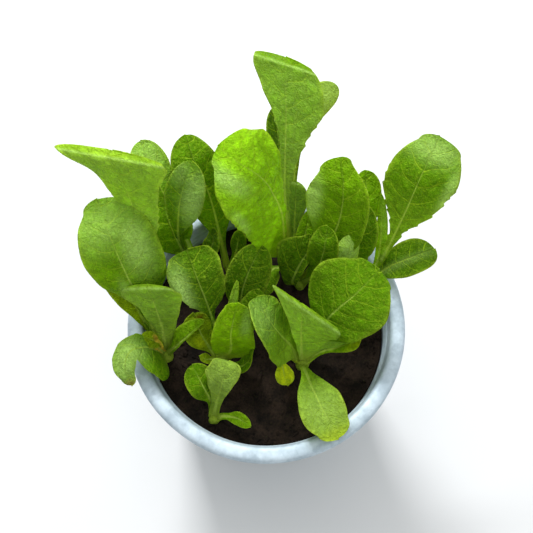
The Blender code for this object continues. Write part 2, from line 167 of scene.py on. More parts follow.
PLANTS: tuple[PlantPlan, ...] = (
    PlantPlan("lettuce_back", "lettuce_back_leaves", (
        Leaf(((13, 41, 1), (8, 62, 46), (7, 91, 78), (6, 111, 93)), roll=(0, 12), hook=(8, 18, 65),
             outline=((.3, 1.8, 1.8), (.4, 1.8, 2.5), (.5, 2, 4.5), (.6, 3, 8), (.7, 5, 13.5), (.78, 9, 19),
                      (.85, 13, 19.5), (.92, 16, 17), (.96, 15.5, 14)),
             teeth=1.2, tone=Tone.MID, foot_tone=Tone.OLIVE),
        Leaf(((11, 43, 1), (7, 74, 30), (3, 97, 52), (1, 108, 58)), (9, .55), (4, .55), .35,
             roll=(-35, -35), tone=Tone.DARK),
        Leaf(((15, 43, 1), (13, 78, 38), (20, 105, 60), (34, 118, 66)), (8, .75), (8, .7), .55,
             cup=(0, -.15), tone=Tone.GREY, patches=(painted_sheen(.9, 0, 24, 14, .5),)),
        Leaf(((12, 40, 1), (9, 46, 20), (6, 53, 46), (-3, 59, 69), (-16, 63, 80), (-27, 72, 79)), blade=.16,
             outline=((.1, 4, 2), (.2, 14, 2), (.3, 20, 2), (.4, 23, 3), (.5, 25, 5), (.6, 27, 9), (.7, 27, 16),
                      (.8, 25, 21), (.9, 16, 20), (.95, 9.5, 17)),
             roll=(-5, 0), cup=(.1, -.2), teeth=.9, tone=Tone.BRIGHT,
             patches=(painted_sheen(.86, -.5, 26, 9, .7), painted_sheen(.62, -.85, 24, 5))),
        Leaf(((15, 41, 1), (14, 54, 24), (14, 64, 40), (14, 68, 45)), (6, .7), (6.5, .7), .4,
             # The pale patch at the tip is a painted highlight on the bent-over flap.
             hook=(3, 15, 70), tone=Tone.DEEP, patches=(Patch(Tone.PALE, .96, 0, 4, 14, .7),)),
        Leaf(((11, 38, 1), (3, 33, 11), (0, 25, 17), (-1, 15, 18)), (6, .6), (6, .6), .15, tone=Tone.DEEP),
    )),
    PlantPlan("lettuce_back_left", "lettuce_back_left_leaves", (
        Leaf(((-23, 36, 1), (-27, 48, 22), (-33, 63, 45), (-41, 76, 60), (-45, 88, 61)),
             (14, .64), (13, .6), .15, cup=(.1, -.05), tone=Tone.DEEP),
        Leaf(((-21, 36, 1), (-18, 42, 14), (-16, 50, 24)), (4, .6), (5, .6), .3, tone=Tone.DEEP),
    )),
    PlantPlan("lettuce_far_left", "lettuce_far_left_leaves", (
        Leaf(((-42, 36, 1), (-43, 41, 16), (-52, 55, 31), (-64, 75, 50), (-70, 87, 55)),
             (10, .7), (10, .7), .4, tone=Tone.MID, patches=(painted_sheen(.88, 0, 30, 20, .6),)),
        Leaf(((-42, 36, 1), (-49, 43, 20), (-48, 50, 46), (-44, 57, 66), (-40, 66, 74)),
             (9, .65), (13, .65), .3, tone=Tone.DEEP,
             patches=(painted_sheen(.72, .5, 34, 12, .85), painted_sheen(.9, -.3, 14, 10, .4))),
        Leaf(((-42, 36, 1), (-48, 41, 16), (-54, 50, 32), (-58, 61, 38)), (14, .6), (12, .6), .2,
             tone=Tone.DEEP),
        Leaf(((-41, 36, 1), (-36, 38, 12), (-31, 42, 22), (-30, 49, 28)), (6, .6), (6, .6), .2,
             tone=Tone.DARK),
    )),
    PlantPlan("lettuce_left", "lettuce_left_leaves", (
        Leaf(((-55, -15, 1), (-59, 13, 36), (-67, 38, 76), (-75, 52, 100)), roll=(10, 25), hook=(6, 18, 72),
             outline=((.3, 1.8, 1.8), (.5, 2.5, 4.5), (.6, 4, 7.5), (.7, 6, 11.5), (.8, 8.5, 15), (.85, 10, 18),
                      (.9, 15, 22), (.94, 23, 25), (.97, 27, 24)),
             # Foot tone DARK is painted shade on the lower blade.
             cup=(.1, 0), teeth=1.2, tone=Tone.FRESH, foot_tone=Tone.DARK,
             # The pale patch at the tip is a painted highlight on the bent-over flap.
             patches=(Patch(Tone.PALE, .98, -.1, 12, 60, .9),)),
        Leaf(((-55, -15, 1), (-63, -1, 28), (-71, 11, 56), (-78, 25, 76), (-84, 41, 80)), blade=.25,
             outline=((.25, 1.8, 2), (.4, 4, 13), (.5, 8.5, 19), (.6, 14, 21.5), (.7, 17, 22), (.8, 16.5, 21),
                      (.9, 12.5, 17), (.95, 9, 13)),
             # Foot tone DARK is painted shade on the lower blade.
             roll=(0, 8), cup=(.1, -.1), tone=Tone.MID, foot_tone=Tone.DARK,
             patches=(painted_sheen(.72, .45, 34, 15, .75), painted_sheen(.87, -.1, 26, 34, .45), painted_sheen(.5, -.2, 16, 5, .4))),
        Leaf(((-55, -15, 1), (-55, -8, 16), (-58, 1, 40), (-61, 5, 50)), blade=.2,
             outline=((.1, 2, 3), (.3, 3, 6), (.5, 5.5, 9), (.6, 7, 11), (.7, 8.5, 13), (.8, 11, 15.5),
                      (.9, 14, 16), (.95, 14, 14)),
             roll=(0, 18), hook=(3.5, 8, 75), tone=Tone.FRESH, foot_tone=Tone.OLIVE,
             # The pale patch at the tip is a painted highlight on the bent-over flap.
             patches=(Patch(Tone.PALE, .98, 0, 5, 30, .8),)),
        Leaf(((-55, -15, 1), (-63, -5, 14), (-73, 8, 34), (-82, 18, 46), (-88, 24, 46)),
             (8, .65), (14, .65), .2, tone=Tone.OLIVE),
        Leaf(((-55, -15, 1), (-58, -17, 16), (-64, -19, 28), (-70, -23, 32), (-72, -31, 29), (-69, -38, 23)),
             outline=((.1, 2, 2), (.2, 12, 4), (.32, 18, 7), (.45, 18, 8), (.55, 14, 8), (.64, 7, 7.5),
                      (.8, 5.5, 6.5), (.92, 4, 4)),
             cup=(0.1, -.1), teeth=.5, tone=Tone.DEEP,
             patches=(painted_sheen(.74, 0, 26, 16, .8), Patch(Tone.BROWN, .98, 0, 5, 8, .9))),
        Leaf(((-55, -15, 1), (-56, -13, 14), (-61, -13, 23), (-66, -12, 24)), (4.5, .65), (4.5, .65), .4,
             tone=Tone.OLIVE),
        Leaf(((-55, -15, 1), (-56, -16, 12), (-59, -13, 20), (-59, -10, 22)), (3, .6), (3, .6), .3,
             tone=Tone.STRAW, patches=(Patch(Tone.BROWN, .9, .3, 3, 3, .7),)),
        Leaf(((-55, -15, 1), (-49, -14, 12), (-41, -9, 20), (-33, -2, 22)), (7, .5), (1, .5), .2,
             tone=Tone.MID),
        Leaf(((-55, -15, 1), (-62, -6, 14), (-69, 5, 22)), (1.6, .5), (1.2, .5), .2, tone=Tone.DEEP),
    )),
    PlantPlan("lettuce_middle", "lettuce_middle_leaves", (
        Leaf(((-24, -16, 1), (-19, -16, 14), (-18, -11, 36), (-15, 0, 48)), blade=.12,
             outline=((.1, 4, 5), (.2, 8, 9), (.35, 10, 12), (.5, 10.5, 12.5), (.7, 9.5, 11.5),
                      (.85, 8, 9), (.93, 6, 7)),
             tone=Tone.FRESH, patches=(painted_sheen(.8, .7, 18, 5, .45),)),
        Leaf(((-26, -16, 1), (-26, -9, 12), (-30, 1, 32), (-36, 13, 47), (-42, 27, 51)),
             outline=((.3, 1.8, 1.8), (.48, 2.5, 3), (.55, 6, 7.5), (.6, 9, 10.5), (.7, 12, 13), (.8, 14.5, 14),
                      (.9, 13.5, 14), (.95, 11, 12)),
             teeth=.8, tone=Tone.DARK, patches=(painted_sheen(.72, -.75, 26, 10, .8),)),
        Leaf(((-26, -16, 1), (-31, -12, 9), (-36, -5, 16), (-39, 3, 20)), (9, .6), (9, .6), .15,
             tone=Tone.OLIVE,
             patches=(Patch(Tone.YELLOW, .5, -.3, 8, 6, .7), Patch(Tone.BROWN, .9, .3, 3, 6, .8))),
        Leaf(((-24, -18, 1), (-14, -23, 10), (-9, -22, 18), (-7, -17, 22)), (5, .6), (5, .6), .2,
             tone=Tone.DEEP),
        Leaf(((-26, -17, 1), (-30, -19, 8), (-32, -20, 12), (-35, -19, 13)), (3, .6), (4, .6), .3,
             tone=Tone.OLIVE),
        Leaf(((-23, -14, 1), (-12, -2, 14), (-7, 5, 26), (-4, 13, 32)), (8, .62), (8, .62), .25,
             tone=Tone.DEEP),
        Leaf(((-23, -14, 1), (-16, 4, 10), (-13, 17, 24), (-8, 28, 33), (-3, 37, 35)),
             (11, .6), (12, .6), .3, base=1, tone=Tone.DARK),
        Leaf(((-24, -14, 1), (-20, 0, 16), (-18, 10, 28), (-16, 17, 34)), (2, .5), (3, .5), .15,
             tone=Tone.PALE, patches=(painted_sheen(.5, 0, 30, 4, .4),)),
    )),
    PlantPlan("lettuce_right_of_middle", "lettuce_right_of_middle_leaves", (
        Leaf(((19, 29, 1), (28, 36, 23), (36, 45, 48), (37, 57, 68), (35, 71, 74)), blade=.2,
             outline=((.2, 2, 2), (.3, 4, 4), (.4, 9, 9), (.5, 15.5, 14), (.6, 19, 15), (.7, 20, 15),
                      (.8, 19, 14), (.9, 16.5, 8), (.95, 12.5, 6)),
             roll=(0, -8), cup=(.1, 0), tone=Tone.MID, patches=(painted_sheen(.7, -.8, 40, 9, .8),)),
        Leaf(((19, 28, 1), (26, 27, 22), (29, 33, 43), (30, 42, 52)), (9, .7), (9, .75), .15, base=1,
             tone=Tone.DEEP),
        Leaf(((17, 30, 1), (17, 37, 16), (20, 48, 30), (22, 58, 36)), (5, .55), (6, .55), .2,
             tone=Tone.MID),
        Leaf(((18, 27, 1), (14, 25, 10), (18, 32, 26), (27, 42, 36)), blade=.12,
             outline=((.12, 2, 2), (.3, 6, 3), (.5, 10.5, 4), (.6, 13, 4), (.7, 15, 4),
                      (.8, 12, 3.5), (.9, 7, 2.5)),
             fold=.3, tone=Tone.DARK),
        Leaf(((19, 27, 1), (24, 30, 14), (30, 37, 24)), (2, .6), (3, .6), .2, tone=Tone.OLIVE),
    )),
    PlantPlan("lettuce_right", "lettuce_right_leaves", (
        Leaf(((50, 26, 1), (60, 33, 22), (69, 47, 54), (76, 62, 74), (85, 81, 80)),
             outline=((.3, 1.8, 1.8), (.4, 2.5, 2.5), (.5, 5, 5), (.6, 11.5, 12), (.7, 16.5, 16.5),
                      (.8, 17, 19.5), (.9, 13, 17), (.95, 9, 14)),
             roll=(0, -10), cup=(.1, -.12), teeth=1.2, tone=Tone.DEEP, foot_tone=Tone.PALE,
             patches=(painted_sheen(.93, 0, 14, 28, .65), painted_sheen(.75, .9, 34, 6, .6))),
        Leaf(((50, 25, 1), (60, 29, 18), (68, 31, 29), (80, 34, 36), (89, 39, 33)), (10, .68), (10, .6), .25,
             tone=Tone.DARK, patches=(painted_sheen(.6, .1, 40, 5, .3),)),
        Leaf(((50, 27, 1), (54, 29, 12), (59, 33, 23), (60, 46, 38), (58, 60, 54)), (2.5, .5), (3.5, .5), .2,
             tone=Tone.FRESH, patches=(painted_sheen(.8, .5, 30, 4, .3),)),
        Leaf(((48, 27, 1), (47, 34, 20), (49, 43, 40), (49, 55, 53)), (8, .6), (9, .6), .2, tone=Tone.DEEP),
        Leaf(((48, 28, 1), (50, 42, 28), (51, 59, 48), (50, 73, 56)), (7, .7), (8, .7), .4, tone=Tone.MID),
        Leaf(((47, 27, 1), (42, 27, 20), (42, 32, 40), (44, 40, 46)), (7, .7), (7, .7), .15,
             cup=(-.2, -.2), tone=Tone.PALE, patches=(painted_sheen(.85, 0, 20, 14, .6),)),
        Leaf(((49, 28, 1), (50, 32, 13), (52, 37, 22), (53, 41, 24)), (3, .6), (3, .6), .2, tone=Tone.DEEP),
    )),
    PlantPlan("lettuce_front", "lettuce_front_leaves", (
        Leaf(((21, -17, 1), (25, -8, 14), (34, 0, 34), (45, 7, 47), (57, 19, 51)), blade=.15,
             outline=((.15, 2, 2), (.3, 5, 6), (.4, 10.5, 12.5), (.5, 18, 18), (.6, 23, 20), (.7, 24, 21.5),
                      (.8, 22.5, 20.5), (.9, 17, 15), (.95, 12.5, 11)),
             roll=(0, -12), cup=(.1, -.1), tone=Tone.DEEP),
        Leaf(((20, -18, 1), (19, -14, 20), (18, -10, 37), (18, -4, 51)), blade=.15,
             outline=((.1, 1.2, 3), (.2, 1.8, 10), (.3, 2.5, 16), (.37, 3, 22), (.42, 3.5, 25), (.5, 4.2, 25.5),
                      (.7, 7, 24.5), (.85, 11.5, 23.5), (.95, 15.5, 22)),
             roll=(0, 10), cup=(.1, -.05), hook=(5, 47, 85), tone=Tone.FRESH,
             # The pale patch at the tip is a painted highlight on the bent-over flap.
             patches=(Patch(Tone.PALE, .95, 0, 6, 40, .6),)),
        Leaf(((19, -18, 1), (14, -13, 14), (6, -10, 34), (0, -4, 43), (-5, 5, 44)), blade=.15,
             outline=((.1, 2, 3), (.2, 6, 7), (.3, 11, 10), (.4, 14.5, 13), (.6, 15.5, 15),
                      (.75, 13, 15), (.9, 9, 11)),
             teeth=1, tone=Tone.DEEP, foot_tone=Tone.PALE, patches=(painted_sheen(.85, -.3, 20, 20, .35),)),
        Leaf(((21, -18, 1), (29, -13, 6), (39, -12, 14), (50, -9, 22)), (4, .8), (5, .8), .4,
             tone=Tone.FRESH, patches=(Patch(Tone.YELLOW, .95, .6, 16, 5, .7),)),
        Leaf(((20, -18, 1), (13, -16, 8), (9, -20, 12), (10, -26, 13), (12, -33, 12)),
             (5.5, .65), (5.5, .65), .55, tone=Tone.YELLOW),
        Leaf(((20, -19, 1), (21, -24, 12), (25, -37, 22), (31, -51, 28), (38, -63, 27)), blade=.2,
             outline=((.2, 2, 2), (.3, 3.5, 3), (.4, 6, 5.5), (.5, 9, 8.5), (.6, 11, 10.5), (.7, 11.5, 12),
                      (.8, 11, 12), (.9, 9, 9)),
             tone=Tone.GREY, foot_tone=Tone.FRESH,
             patches=(painted_sheen(.7, 0, 34, 26, .3), Patch(Tone.YELLOW, .97, .3, 8, 18, .7))),
    )),
    PlantPlan("seedling_front_left", "seedling_front_left_leaves", (
        Leaf(((-27, -50, 1), (-28, -43, 10), (-32, -37, 22), (-38, -27, 26)), (8, .65), (8, .6), .3,
             base=1.1, tone=Tone.DEEP),
        Leaf(((-27, -50, 1), (-25, -44, 14), (-22, -37, 28), (-20, -28, 34), (-19, -26, 33)), blade=.3,
             outline=((.3, 3, 2.5), (.4, 4, 3), (.5, 5, 3.5), (.6, 7, 4.5), (.7, 8, 6),
                      (.8, 10, 8), (.9, 8, 9)),
             tone=Tone.GREY, patches=(painted_sheen(.75, 0, 34, 26, .25),)),
        Leaf(((-26, -50, 1), (-22, -49, 4), (-14, -51, 10), (-7, -55, 10)), (3.5, .6), (3.5, .6), .25,
             tone=Tone.MID),
    )),
)


@dataclass(frozen=True)
class Growth:
    """How every leaf is built: steps of its mesh and the depth of its relief."""

    step: float = 1.1
    most_rows: int = 118
    most_columns: int = 45
    tip_crowding: float = 1.5
    crease_radius: float = 1.5
    # Strength of the painted highlight just past a crease.
    crest_painted_highlight: float = 0.75
    blade_thickness: float = 0.45
    margin_thickness: float = 0.25
    rib_height: float = 1.9
    rib_groove: float = 0.35
    vein_gap: float = 10.0
    vein_width: float = 1.2
    vein_depth: float = 0.2
    vein_wander: float = 0.3
    pucker: float = 0.55
    pucker_scale: float = 0.19
    undulation: float = 0.8
    undulation_scale: float = 0.055
    ruffle: float = 0.5
    ruffle_scale: float = 0.42
    margin_wobble: float = 0.009
    tooth_gap: float = 6.5
    span_samples: int = 24
    route_samples: int = 200
    crown_radius: float = 2.0
    crown_radius_per_leaf: float = 0.32
    crown_top: float = 5.0


@dataclass
class SkinValues:
    """What the leaf material reads at each point.

    Net holds the distance from the midrib, the distance along it and the vein count; form
    the margin share, length share and underside flag; tint the green, and the sheen value how
    much whitish painted sheen and painted crest highlight lies on the skin.
    """

    net: np.ndarray
    form: np.ndarray
    tint: np.ndarray
    painted_sheen: np.ndarray


@dataclass
class MeshParts:
    """Points, faces and values for each point, gathered before one mesh is made."""

    points: list[np.ndarray] = field(default_factory=list)
    faces: list[np.ndarray] = field(default_factory=list)
    skins: list[SkinValues] = field(default_factory=list)
    count: int = 0

    def add(self, points: np.ndarray, faces: np.ndarray, skin: SkinValues) -> None:
        """Add one closed body.

        Args:
            points: Its points in millimetres.
            faces: Quads as rows of point numbers.
            skin: Values for each point.
        """
        self.points.append(points)
        self.faces.append(faces + self.count)
        self.skins.append(skin)
        self.count += len(points)

    def to_object(self, name: str) -> bpy.types.Object:
        """Make the mesh with its attributes, shaded smooth.

        Args:
            name: Name of the piece.

        Returns:
            The new object, linked to the scene.
        """
        mesh = bpy.data.meshes.new(name)
        points = np.concatenate(self.points) * MM
        mesh.from_pydata(points.tolist(), [], np.concatenate(self.faces).tolist())
        tint = np.concatenate([skin.tint for skin in self.skins])
        layers = (
            ("leaf_net", "FLOAT_VECTOR", "vector", np.concatenate([skin.net for skin in self.skins])),
            ("leaf_form", "FLOAT_VECTOR", "vector", np.concatenate([skin.form for skin in self.skins])),
            ("leaf_tint", "FLOAT_COLOR", "color", np.hstack([tint, np.ones((len(tint), 1))])),
            # Painted sheen and the painted crest highlight, for each point.
            ("leaf_painted_sheen", "FLOAT", "value", np.concatenate([skin.painted_sheen for skin in self.skins])),
        )
        for label, kind, key, values in layers:
            layer = mesh.attributes.new(label, kind, "POINT")
            layer.data.foreach_set(key, values.astype(np.float32).ravel())
        mesh.update()
        mesh.shade_smooth()
        piece = bpy.data.objects.new(name, mesh)
        bpy.context.scene.collection.objects.link(piece)
        return piece


def smooth_route(points: tuple[Place, ...], growth: Growth) -> np.ndarray:
    """Centripetal Catmull-Rom curve through the points, evenly spaced by length.

    Args:
        points: Places the curve passes through.
        growth: Sampling numbers.

    Returns:
        Points along the curve.
    """
    knots = np.array(points, dtype=float)
    knots = np.vstack([2 * knots[0] - knots[1], knots, 2 * knots[-1] - knots[-2]])
    route = []
    for p0, p1, p2, p3 in zip(knots, knots[1:], knots[2:], knots[3:]):
        t1 = math.sqrt(np.linalg.norm(p1 - p0))
        t2 = t1 + math.sqrt(np.linalg.norm(p2 - p1))
        t3 = t2 + math.sqrt(np.linalg.norm(p3 - p2))
        for t in np.linspace(t1, t2, growth.span_samples, endpoint=False):
            a1 = (t1 - t) / t1 * p0 + t / t1 * p1
            a2 = (t2 - t) / (t2 - t1) * p1 + (t - t1) / (t2 - t1) * p2
            a3 = (t3 - t) / (t3 - t2) * p2 + (t - t2) / (t3 - t2) * p3
            b1 = (t2 - t) / t2 * a1 + t / t2 * a2
            b2 = (t3 - t) / (t3 - t1) * a2 + (t - t1) / (t3 - t1) * a3
            route.append((t2 - t) / (t2 - t1) * b1 + (t - t1) / (t2 - t1) * b2)
    route.append(knots[-2])
    route = np.array(route)
    run = lengths_along(route)
    return sampled(route, run, np.linspace(0, run[-1], growth.route_samples))


def sampled(values: np.ndarray, run: np.ndarray, spots: np.ndarray) -> np.ndarray:
    """Vectors given at the lengths in run, read off at other lengths.

    Args:
        values: One vector for each length.
        run: Lengths along the route.
        spots: Lengths to read at.

    Returns:
        One vector for each spot.
    """
    return np.stack([np.interp(spots, run, values[:, axis]) for axis in range(3)], axis=-1)


def lengths_along(route: np.ndarray) -> np.ndarray:
    """Length from the first point of a route to each of its points.

    Args:
        route: Points in order.

    Returns:
        One length for each point.
    """
    return np.concatenate([[0.0], np.cumsum(np.linalg.norm(np.diff(route, axis=0), axis=1))])


def field_noise(points: np.ndarray, scale: float, seed: float) -> np.ndarray:
    """Smooth noise over a grid of points.

    Args:
        points: Grid of places, in millimetres.
        scale: Repeats for each millimetre.
        seed: Offset that makes each leaf its own.

    Returns:
        Values from about -1 to 1.
    """
    flat = points.reshape(-1, points.shape[-1])
    values = [noise.noise(Vector((p[0] * scale + seed, p[1] * scale, seed * 0.37))) for p in flat]
    return np.array(values).reshape(points.shape[:-1])


class LeafShape:
    """The closed blade of one leaf, worked out as two faces of points."""

    def __init__(self, leaf: Leaf, growth: Growth, seed: int) -> None:
        """Work out the midrib of the leaf.

        Args:
            leaf: The leaf's plan.
            growth: Steps and relief shared by all leaves.
            seed: Number that sets its own irregularities.
        """
        self.leaf = leaf
        self.growth = growth
        self.random = random.Random(seed)
        self.offset = self.random.uniform(0, 80)
        # Painted highlight along the crease, set when the tip is bent over.
        self.painted_crest_highlight: np.ndarray | float = 0.0
        self.route = smooth_route(leaf.spine, growth)
        self.crease = self.route[-1]
        self.tangent, self.side = self._side_vectors()
        if leaf.hook[0]:
            self.route = np.vstack([self.route, self.crease + self.tangent[-1] * leaf.hook[0]])
            self.tangent = np.vstack([self.tangent, self.tangent[-1]])
            self.side = np.vstack([self.side, self.side[-1]])
        self.normal = np.cross(self.side, self.tangent)
        self.run = lengths_along(self.route)
        self.length = self.run[-1]

    def _side_vectors(self) -> tuple[np.ndarray, np.ndarray]:
        """Tangents and sideways vectors, carried from the middle of the midrib, then rolled."""
        tangent = np.gradient(self.route, axis=0)
        tangent /= np.linalg.norm(tangent, axis=1)[:, None]
        count = len(self.route)
        middle = count // 2
        side = np.zeros_like(self.route)
        start = np.cross(tangent[middle], (0.0, 0.0, 1.0))
        side[middle] = start / np.linalg.norm(start)
        for steps in (range(middle + 1, count), range(middle - 1, -1, -1)):
            carried = side[middle]
            for index in steps:
                carried = carried - tangent[index] * np.dot(carried, tangent[index])
                carried = carried / np.linalg.norm(carried)
                side[index] = carried
        angle = np.radians(np.linspace(self.leaf.roll[0], self.leaf.roll[1], count))[:, None]
        return tangent, np.cos(angle) * side + np.sin(angle) * np.cross(side, tangent)

    def _knotted(self, share: np.ndarray, column: int) -> np.ndarray:
        """Half width read smoothly from the outline's knots, with a round tip past the last.

        Args:
            share: Shares of the leaf's length.
            column: Column of the outline to read.

        Returns:
            Half widths in millimetres.
        """
        knots = np.array(self.leaf.outline, dtype=float)
        at, width = knots[:, 0], knots[:, column]
        slope = np.gradient(width, at)
        index = np.clip(np.searchsorted(at, share) - 1, 0, len(at) - 2)
        span = at[index + 1] - at[index]
        t = np.clip((share - at[index]) / span, 0, 1)
        half = (2 * t ** 3 - 3 * t ** 2 + 1) * width[index] + (t ** 3 - 2 * t ** 2 + t) * span * slope[index]
        half += (3 * t ** 2 - 2 * t ** 3) * width[index + 1] + (t ** 3 - t ** 2) * span * slope[index + 1]
        past = np.clip((share - at[-1]) / (1 - at[-1]), 0, 1)
        return np.maximum(half, 0.4) * np.sqrt(np.clip(1 - past ** 2.2, 0, 1))

    def half_width(self, share: np.ndarray, column: int, phase: float) -> np.ndarray:
        """Half width along the leaf: a narrow winged stalk that opens into a toothed blade.

        Args:
            share: Shares of the leaf's length.
            column: 1 for the left side or 2 for the right side.
            phase: Shift of this margin's teeth.

        Returns:
            Half widths in millimetres.
        """
        leaf = self.leaf
        along = np.clip((share - leaf.blade) / (1 - leaf.blade), 0, 1)
        if leaf.outline:
            half = self._knotted(share, column)
        else:
            width, widest = leaf.left if column == 1 else leaf.right
            opening = np.sin(math.pi / 2 * np.clip(along / widest, 0, 1)) ** leaf.base
            closing = np.sqrt(np.clip(1 - (np.clip(along - widest, 0, 1) / (1 - widest)) ** 2.2, 0, 1))
            body = width * np.where(along < widest, opening, closing)
            stalk = leaf.stalk * np.clip((1 - share) * 4, 0, 1) * np.clip(1 - body / width, 0, 1) ** 0.5
            half = np.sqrt(body ** 2 + stalk ** 2)
        spot = share * self.length
        wobble = np.sin(spot * 0.19 + phase) + 0.6 * np.sin(spot * 0.43 + 2 * phase)
        half *= 1 + self.growth.margin_wobble * wobble * np.clip(along * 4, 0, 1)
        if leaf.teeth:
            saw = (spot / self.growth.tooth_gap + phase + 0.25 * np.sin(spot * 0.3 + phase)) % 1.0
            fade = np.clip(along * 6, 0, 1) * np.clip((0.8 - along) * 4, 0, 1)
            half += leaf.teeth * fade * (saw ** 2 - 0.4)
        return half

    def _bend(self, points: np.ndarray) -> np.ndarray:
        """Bend what lies past the crease over backwards.

        Args:
            points: Grid of points of the flat blade.

        Returns:
            The bent grid.
        """
        hook = self.leaf.hook
        slant, most = math.radians(hook[1]), math.radians(hook[2])
        radius = self.growth.crease_radius
        beyond = self.side[-1] * math.sin(slant) + self.tangent[-1] * math.cos(slant)
        past = np.clip((points - self.crease) @ beyond, 0, None)
        # Painted highlight: a whitish band just past the crease, where the bent blade turns to the light.
        self.painted_crest_highlight = np.exp(-((past - 0.9) / 0.8) ** 2)
        angle = np.minimum(past / radius, most)
        straight = past - angle * radius
        forward = radius * np.sin(angle) + straight * np.cos(angle)
        down = radius * (1 - np.cos(angle)) + straight * np.sin(angle)
        return points + beyond * (forward - past)[..., None] - self.normal[-1] * down[..., None]

    def _tints(self, share: np.ndarray, place: np.ndarray, across: np.ndarray) -> tuple[np.ndarray, np.ndarray]:
        """Colour and painted sheen of each point of a face.

        Args:
            share: Grid of shares along the leaf.
            place: Grid of places across it, from -1 to 1.
            across: Grid of distances from the midrib in millimetres.

        Returns:
            Grid of colours and grid of painted sheen, with the painted highlight along the crease.
        """
        leaf = self.leaf
        tint = np.zeros(share.shape + (3,)) + leaf.tone.value
        painted_sheen_mask = np.zeros(share.shape)
        # The foot tone changes the lower blade: a real paler or yellower base on some leaves, painted shade
        # where the foot tone is dark.
        if leaf.foot_tone:
            lower = np.clip((0.72 - share) / 0.4, 0, 1)[..., None] * 0.7
            tint = tint * (1 - lower) + np.array(leaf.foot_tone.value) * lower
        # Patches paint yellowing and brown spots, painted sheen, and painted highlights on bent-over tips.
        for patch in leaf.patches:
            centre = np.interp(patch.share, share[:, 0], np.abs(across).max(axis=1)) * patch.place
            gone = np.abs((share - patch.share) * self.length / patch.length * 2) ** 2.5
            gone += np.abs((across - centre) / patch.width * 2) ** 2.5
            blend = patch.strength * np.exp(-gone)
            if patch.tone is Tone.PAINTED_SHEEN:
                painted_sheen_mask = np.maximum(painted_sheen_mask, blend)
            else:
                tint = tint * (1 - blend[..., None]) + np.array(patch.tone.value) * blend[..., None]
        # Painted highlight along the crease, carried with the painted sheen.
        painted_sheen_mask = np.maximum(painted_sheen_mask, self.growth.crest_painted_highlight * self.painted_crest_highlight)
        # Pale margin: partly paler edge tissue, partly painted highlight where the edge catches light.
        edge = (np.abs(place) ** 16 * np.clip(share * 3 - 1, 0, 1) * 0.4)[..., None]
        return tint * (1 - edge) + np.array(Tone.MARGIN.value) * edge, painted_sheen_mask

    def surface(self) -> dict[str, np.ndarray]:
        """Work out both faces of the blade.

        Returns:
            Grids of the top and bottom points, with the share along the leaf, the place
            and distance across it, and the vein count.
        """
        leaf, growth = self.leaf, self.growth
        rows = int(np.clip(self.length / growth.step, 24, growth.most_rows))
        widest = max(leaf.left[0], leaf.right[0])
        if leaf.outline:
            widest = max(max(knot[1:]) for knot in leaf.outline)
        columns = int(np.clip(widest / growth.step, 6, growth.most_columns // 2)) * 2 + 1
        share = (1 - (1 - np.linspace(0, 0.9985, rows)) ** growth.tip_crowding)
        spots = share * self.length
        tangent = sampled(self.tangent, self.run, spots)
        slant = math.tan(math.radians(leaf.hook[1])) * share[:, None]
        side = sampled(self.side, self.run, spots) - tangent * slant
        up = sampled(self.normal, self.run, spots)
        midrib = sampled(self.route, self.run, spots)
        ticks = np.linspace(-1, 1, columns)
        place = np.broadcast_to(ticks * (0.75 + 0.25 * np.abs(ticks)), (rows, columns))
        phases = self.random.uniform(0, 6), self.random.uniform(0, 6)
        left = self.half_width(share, 1, phases[0])[:, None]
        right = self.half_width(share, 2, phases[1])[:, None]
        half = np.where(place < 0, left, right)
        across = place * half
        share_grid = np.broadcast_to(share[:, None], (rows, columns))
        spot_grid = share_grid * self.length
        blade = np.clip((share_grid - leaf.blade * 0.8) * 5, 0, 1)
        cup = (leaf.cup[0] + (leaf.cup[1] - leaf.cup[0]) * share)[:, None]
        ripple = np.sin(4 * math.pi * share_grid + np.where(place > 0, 1.3, 0))
        lift = cup * half * place ** 2 + leaf.fold * half * np.abs(place)
        lift += leaf.wave * ripple * place ** 2 * half / widest
        flat = np.stack([across, spot_grid], axis=-1)
        swell = field_noise(flat, growth.undulation_scale, self.offset)
        lift += growth.undulation * swell * blade * min(1, widest / 14)
        ruffle = np.sin(spot_grid * growth.ruffle_scale + phases[0] + 2 * np.sign(place))
        lift += growth.ruffle * ruffle * np.abs(place) ** 4 * blade * min(1, widest / 18)
        grid = midrib[:, None] + side[:, None] * across[..., None] + up[:, None] * lift[..., None]
        if leaf.hook[0]:
            grid = self._bend(grid)
        normal = np.cross(np.gradient(grid, axis=1), np.gradient(grid, axis=0))
        normal /= np.linalg.norm(normal, axis=-1)[..., None] + 1e-9
        wide = np.abs(across)
        bend = wide * 0.35 + wide ** 2 / np.maximum(half, 3) * 0.5
        phase = (spot_grid - bend) / growth.vein_gap + np.where(place < 0, phases[0], phases[1])
        phase = phase + growth.vein_wander * field_noise(flat, 0.09, self.offset + 9)
        near = np.abs(phase % 1.0 - 0.5) * growth.vein_gap
        fade = np.clip((1 - np.abs(place)) * 4, 0, 1) * blade
        relief = -growth.vein_depth * np.exp(-(near / growth.vein_width) ** 2) * fade
        cushions = field_noise(flat, growth.pucker_scale, self.offset + 21) + 0.25
        relief += growth.pucker * cushions * fade * np.clip(near / 2, 0, 1)
        rib_width = 0.45 + 1.6 * (1 - share_grid) ** 2
        rib = np.exp(-(wide / rib_width) ** 2)
        relief -= growth.rib_groove * rib * blade
        relief *= np.clip((1 - share_grid) * 14, 0, 1)
        top = grid + normal * relief[..., None]
        thick = growth.blade_thickness + (growth.margin_thickness - growth.blade_thickness) * np.abs(place) ** 6
        thick = thick + growth.rib_height * rib * (1 - 0.8 * share_grid)
        bottom = top - normal * thick[..., None]
        return {"top": top, "bottom": bottom, "share": share_grid, "place": place, "across": across,
                "phase": phase}

